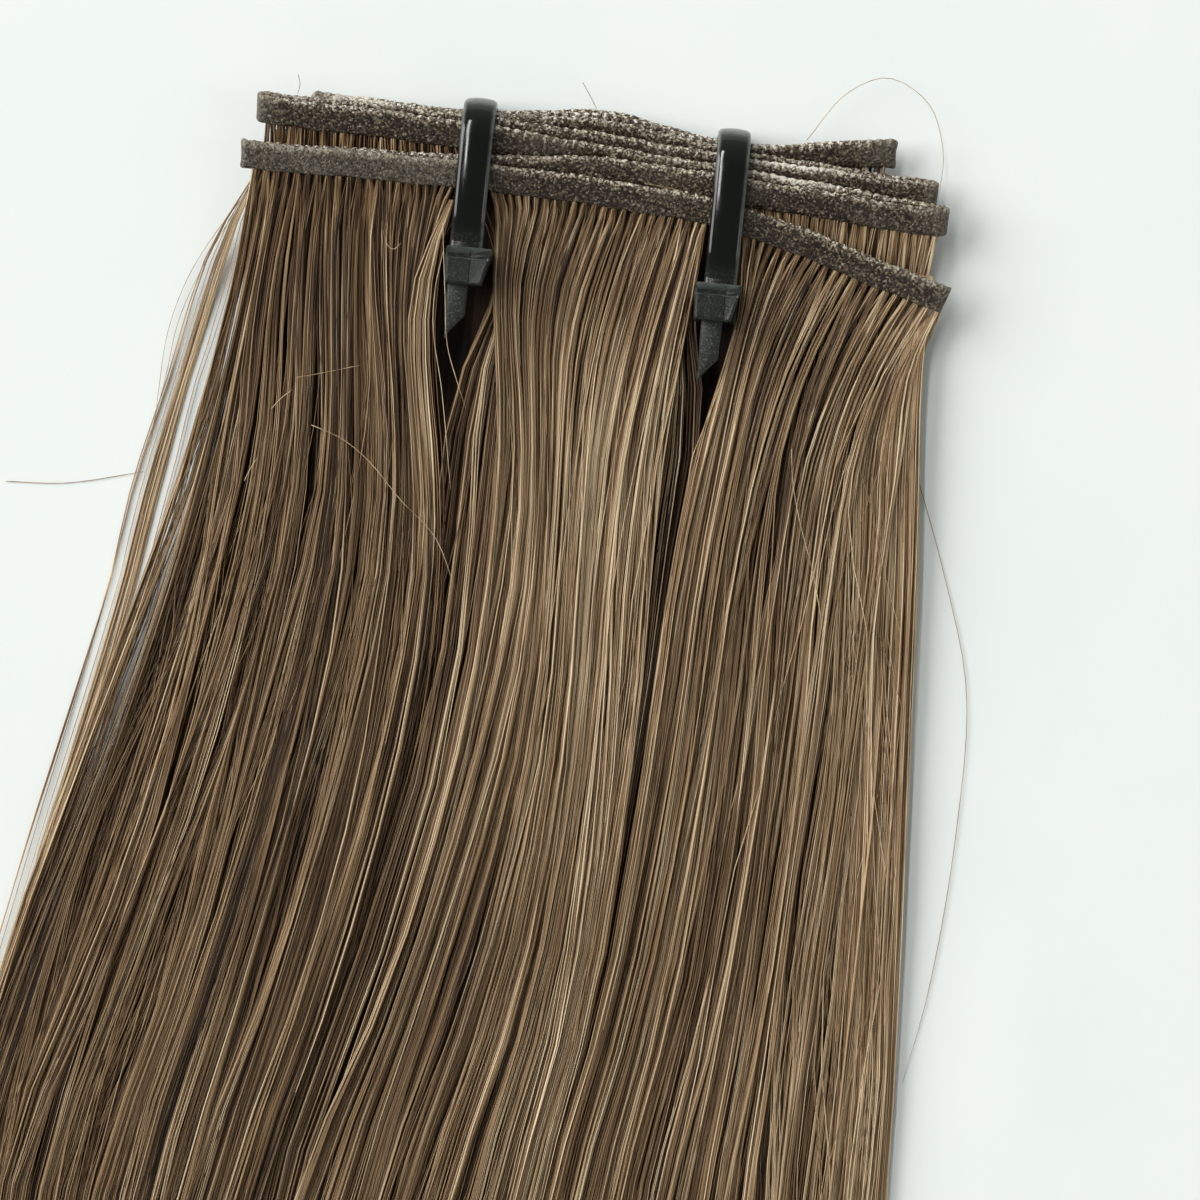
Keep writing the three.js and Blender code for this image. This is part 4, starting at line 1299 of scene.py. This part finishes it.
# Painted reflection and highlight: grey where the bent attribute is set, on the strap's bend, its shoulders
# and the head's rim.
bent_grey = nylon.ramp(scuffs, (0.3, seen(76, 82, 78)), (0.7, seen(116, 122, 117)))
nylon.surface(
    Base_Color=nylon.blend(nylon.attribute("bent"), black, bent_grey),
    Specular_IOR_Level=0.4,
    Roughness=nylon.total(0.0, (scuffs, 0.17), (dull, 0.45)),
    Normal=nylon.bump(nylon.total(0.0, (grain, dull)), strength=0.3, distance=0.00012),
)
for row in TIES:
    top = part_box(row["node"])[1].z / MM
    stands_for(tie_strap(row, top), row["node"], nylon.material)
    stands_for(tie_head(row, top), row["node"], nylon.material)


# The floor is plain and pale, with soft light from the upper left, and the camera looks straight down on
# the band and the upper part of the hair.
FLOOR_REACH = 3.0
floor_shape = bmesh.new()
bmesh.ops.create_grid(floor_shape, x_segments=4, y_segments=4, size=FLOOR_REACH)
floor = finished("floor", floor_shape)
paper = Finish("pale_floor")
mottle = paper.noise(paper.where(), scale=30.0, detail=4.0)
paper.surface(
    Base_Color=paper.ramp(mottle, (0.3, seen(232, 237, 234)), (0.7, seen(236, 240, 237))),
    Roughness=0.7,
)
floor.data.materials.append(paper.material)

SKY_SIDE = 0.51
SKY_TOP = 0.16
SKY_TINT = np.array([0.96, 1.0, 0.98])
world = bpy.data.worlds.new("soft_studio")
world.use_nodes = True
nodes, links = world.node_tree.nodes, world.node_tree.links
direction = nodes.new("ShaderNodeSeparateXYZ")
links.new(nodes.new("ShaderNodeTexCoord").outputs["Generated"], direction.inputs[0])
sky = nodes.new("ShaderNodeValToRGB")
links.new(direction.outputs["Z"], sky.inputs["Fac"])
for element, light in zip(sky.color_ramp.elements, (SKY_SIDE, SKY_TOP)):
    element.color = (*(light * SKY_TINT), 1.0)
links.new(sky.outputs["Color"], nodes["Background"].inputs["Color"])
bpy.context.scene.world = world
bpy.context.scene.view_settings.view_transform = "Standard"

VIEW_MIDDLE = (6.69, -60.75, 6.0)
VIEW_WIDTH = 174.6
VIEW_DISTANCE = 600.0
VIEW_TURN = math.radians(5.6)
SENSOR = 36.0
LAMPS = table(
    "name place up wide high power",
    [
        ("key", (-6500.0, 1900.0, 4100.0), (0, 0, 1), 6000.0, 6000.0, 745.0),
        ("strip", (-2110.0, 3340.0, 5948.0), (-0.06, -0.88, 0.47), 400.0, 6500.0, 163.0),
        ("fill", (5200.0, -600.0, 5200.0), (0, 0, 1), 2000.0, 2000.0, 28.0),
    ],
)
for row in LAMPS:
    lamp = bpy.data.lights.new(row["name"], "AREA")
    lamp.shape = "RECTANGLE"
    lamp.size = row["wide"] * MM
    lamp.size_y = row["high"] * MM
    lamp.energy = row["power"]
    holder = placed(row["name"], lamp)
    holder.location = row_frame(np.add(VIEW_MIDDLE, row["place"]))
    back = np.array(row["place"]) / np.linalg.norm(row["place"])
    up = row["up"] - np.dot(row["up"], back) * back
    up /= np.linalg.norm(up)
    holder.rotation_euler = Matrix((np.cross(up, back), up, back)).transposed().to_euler()

lens = bpy.data.cameras.new("camera")
lens.sensor_width = SENSOR
lens.lens = SENSOR * VIEW_DISTANCE / VIEW_WIDTH
lens.clip_start = 0.01
camera = placed("camera", lens)
camera.location = row_frame(np.add(VIEW_MIDDLE, (0.0, 0.0, VIEW_DISTANCE)))
camera.rotation_euler = (0.0, 0.0, VIEW_TURN)
bpy.context.scene.camera = camera
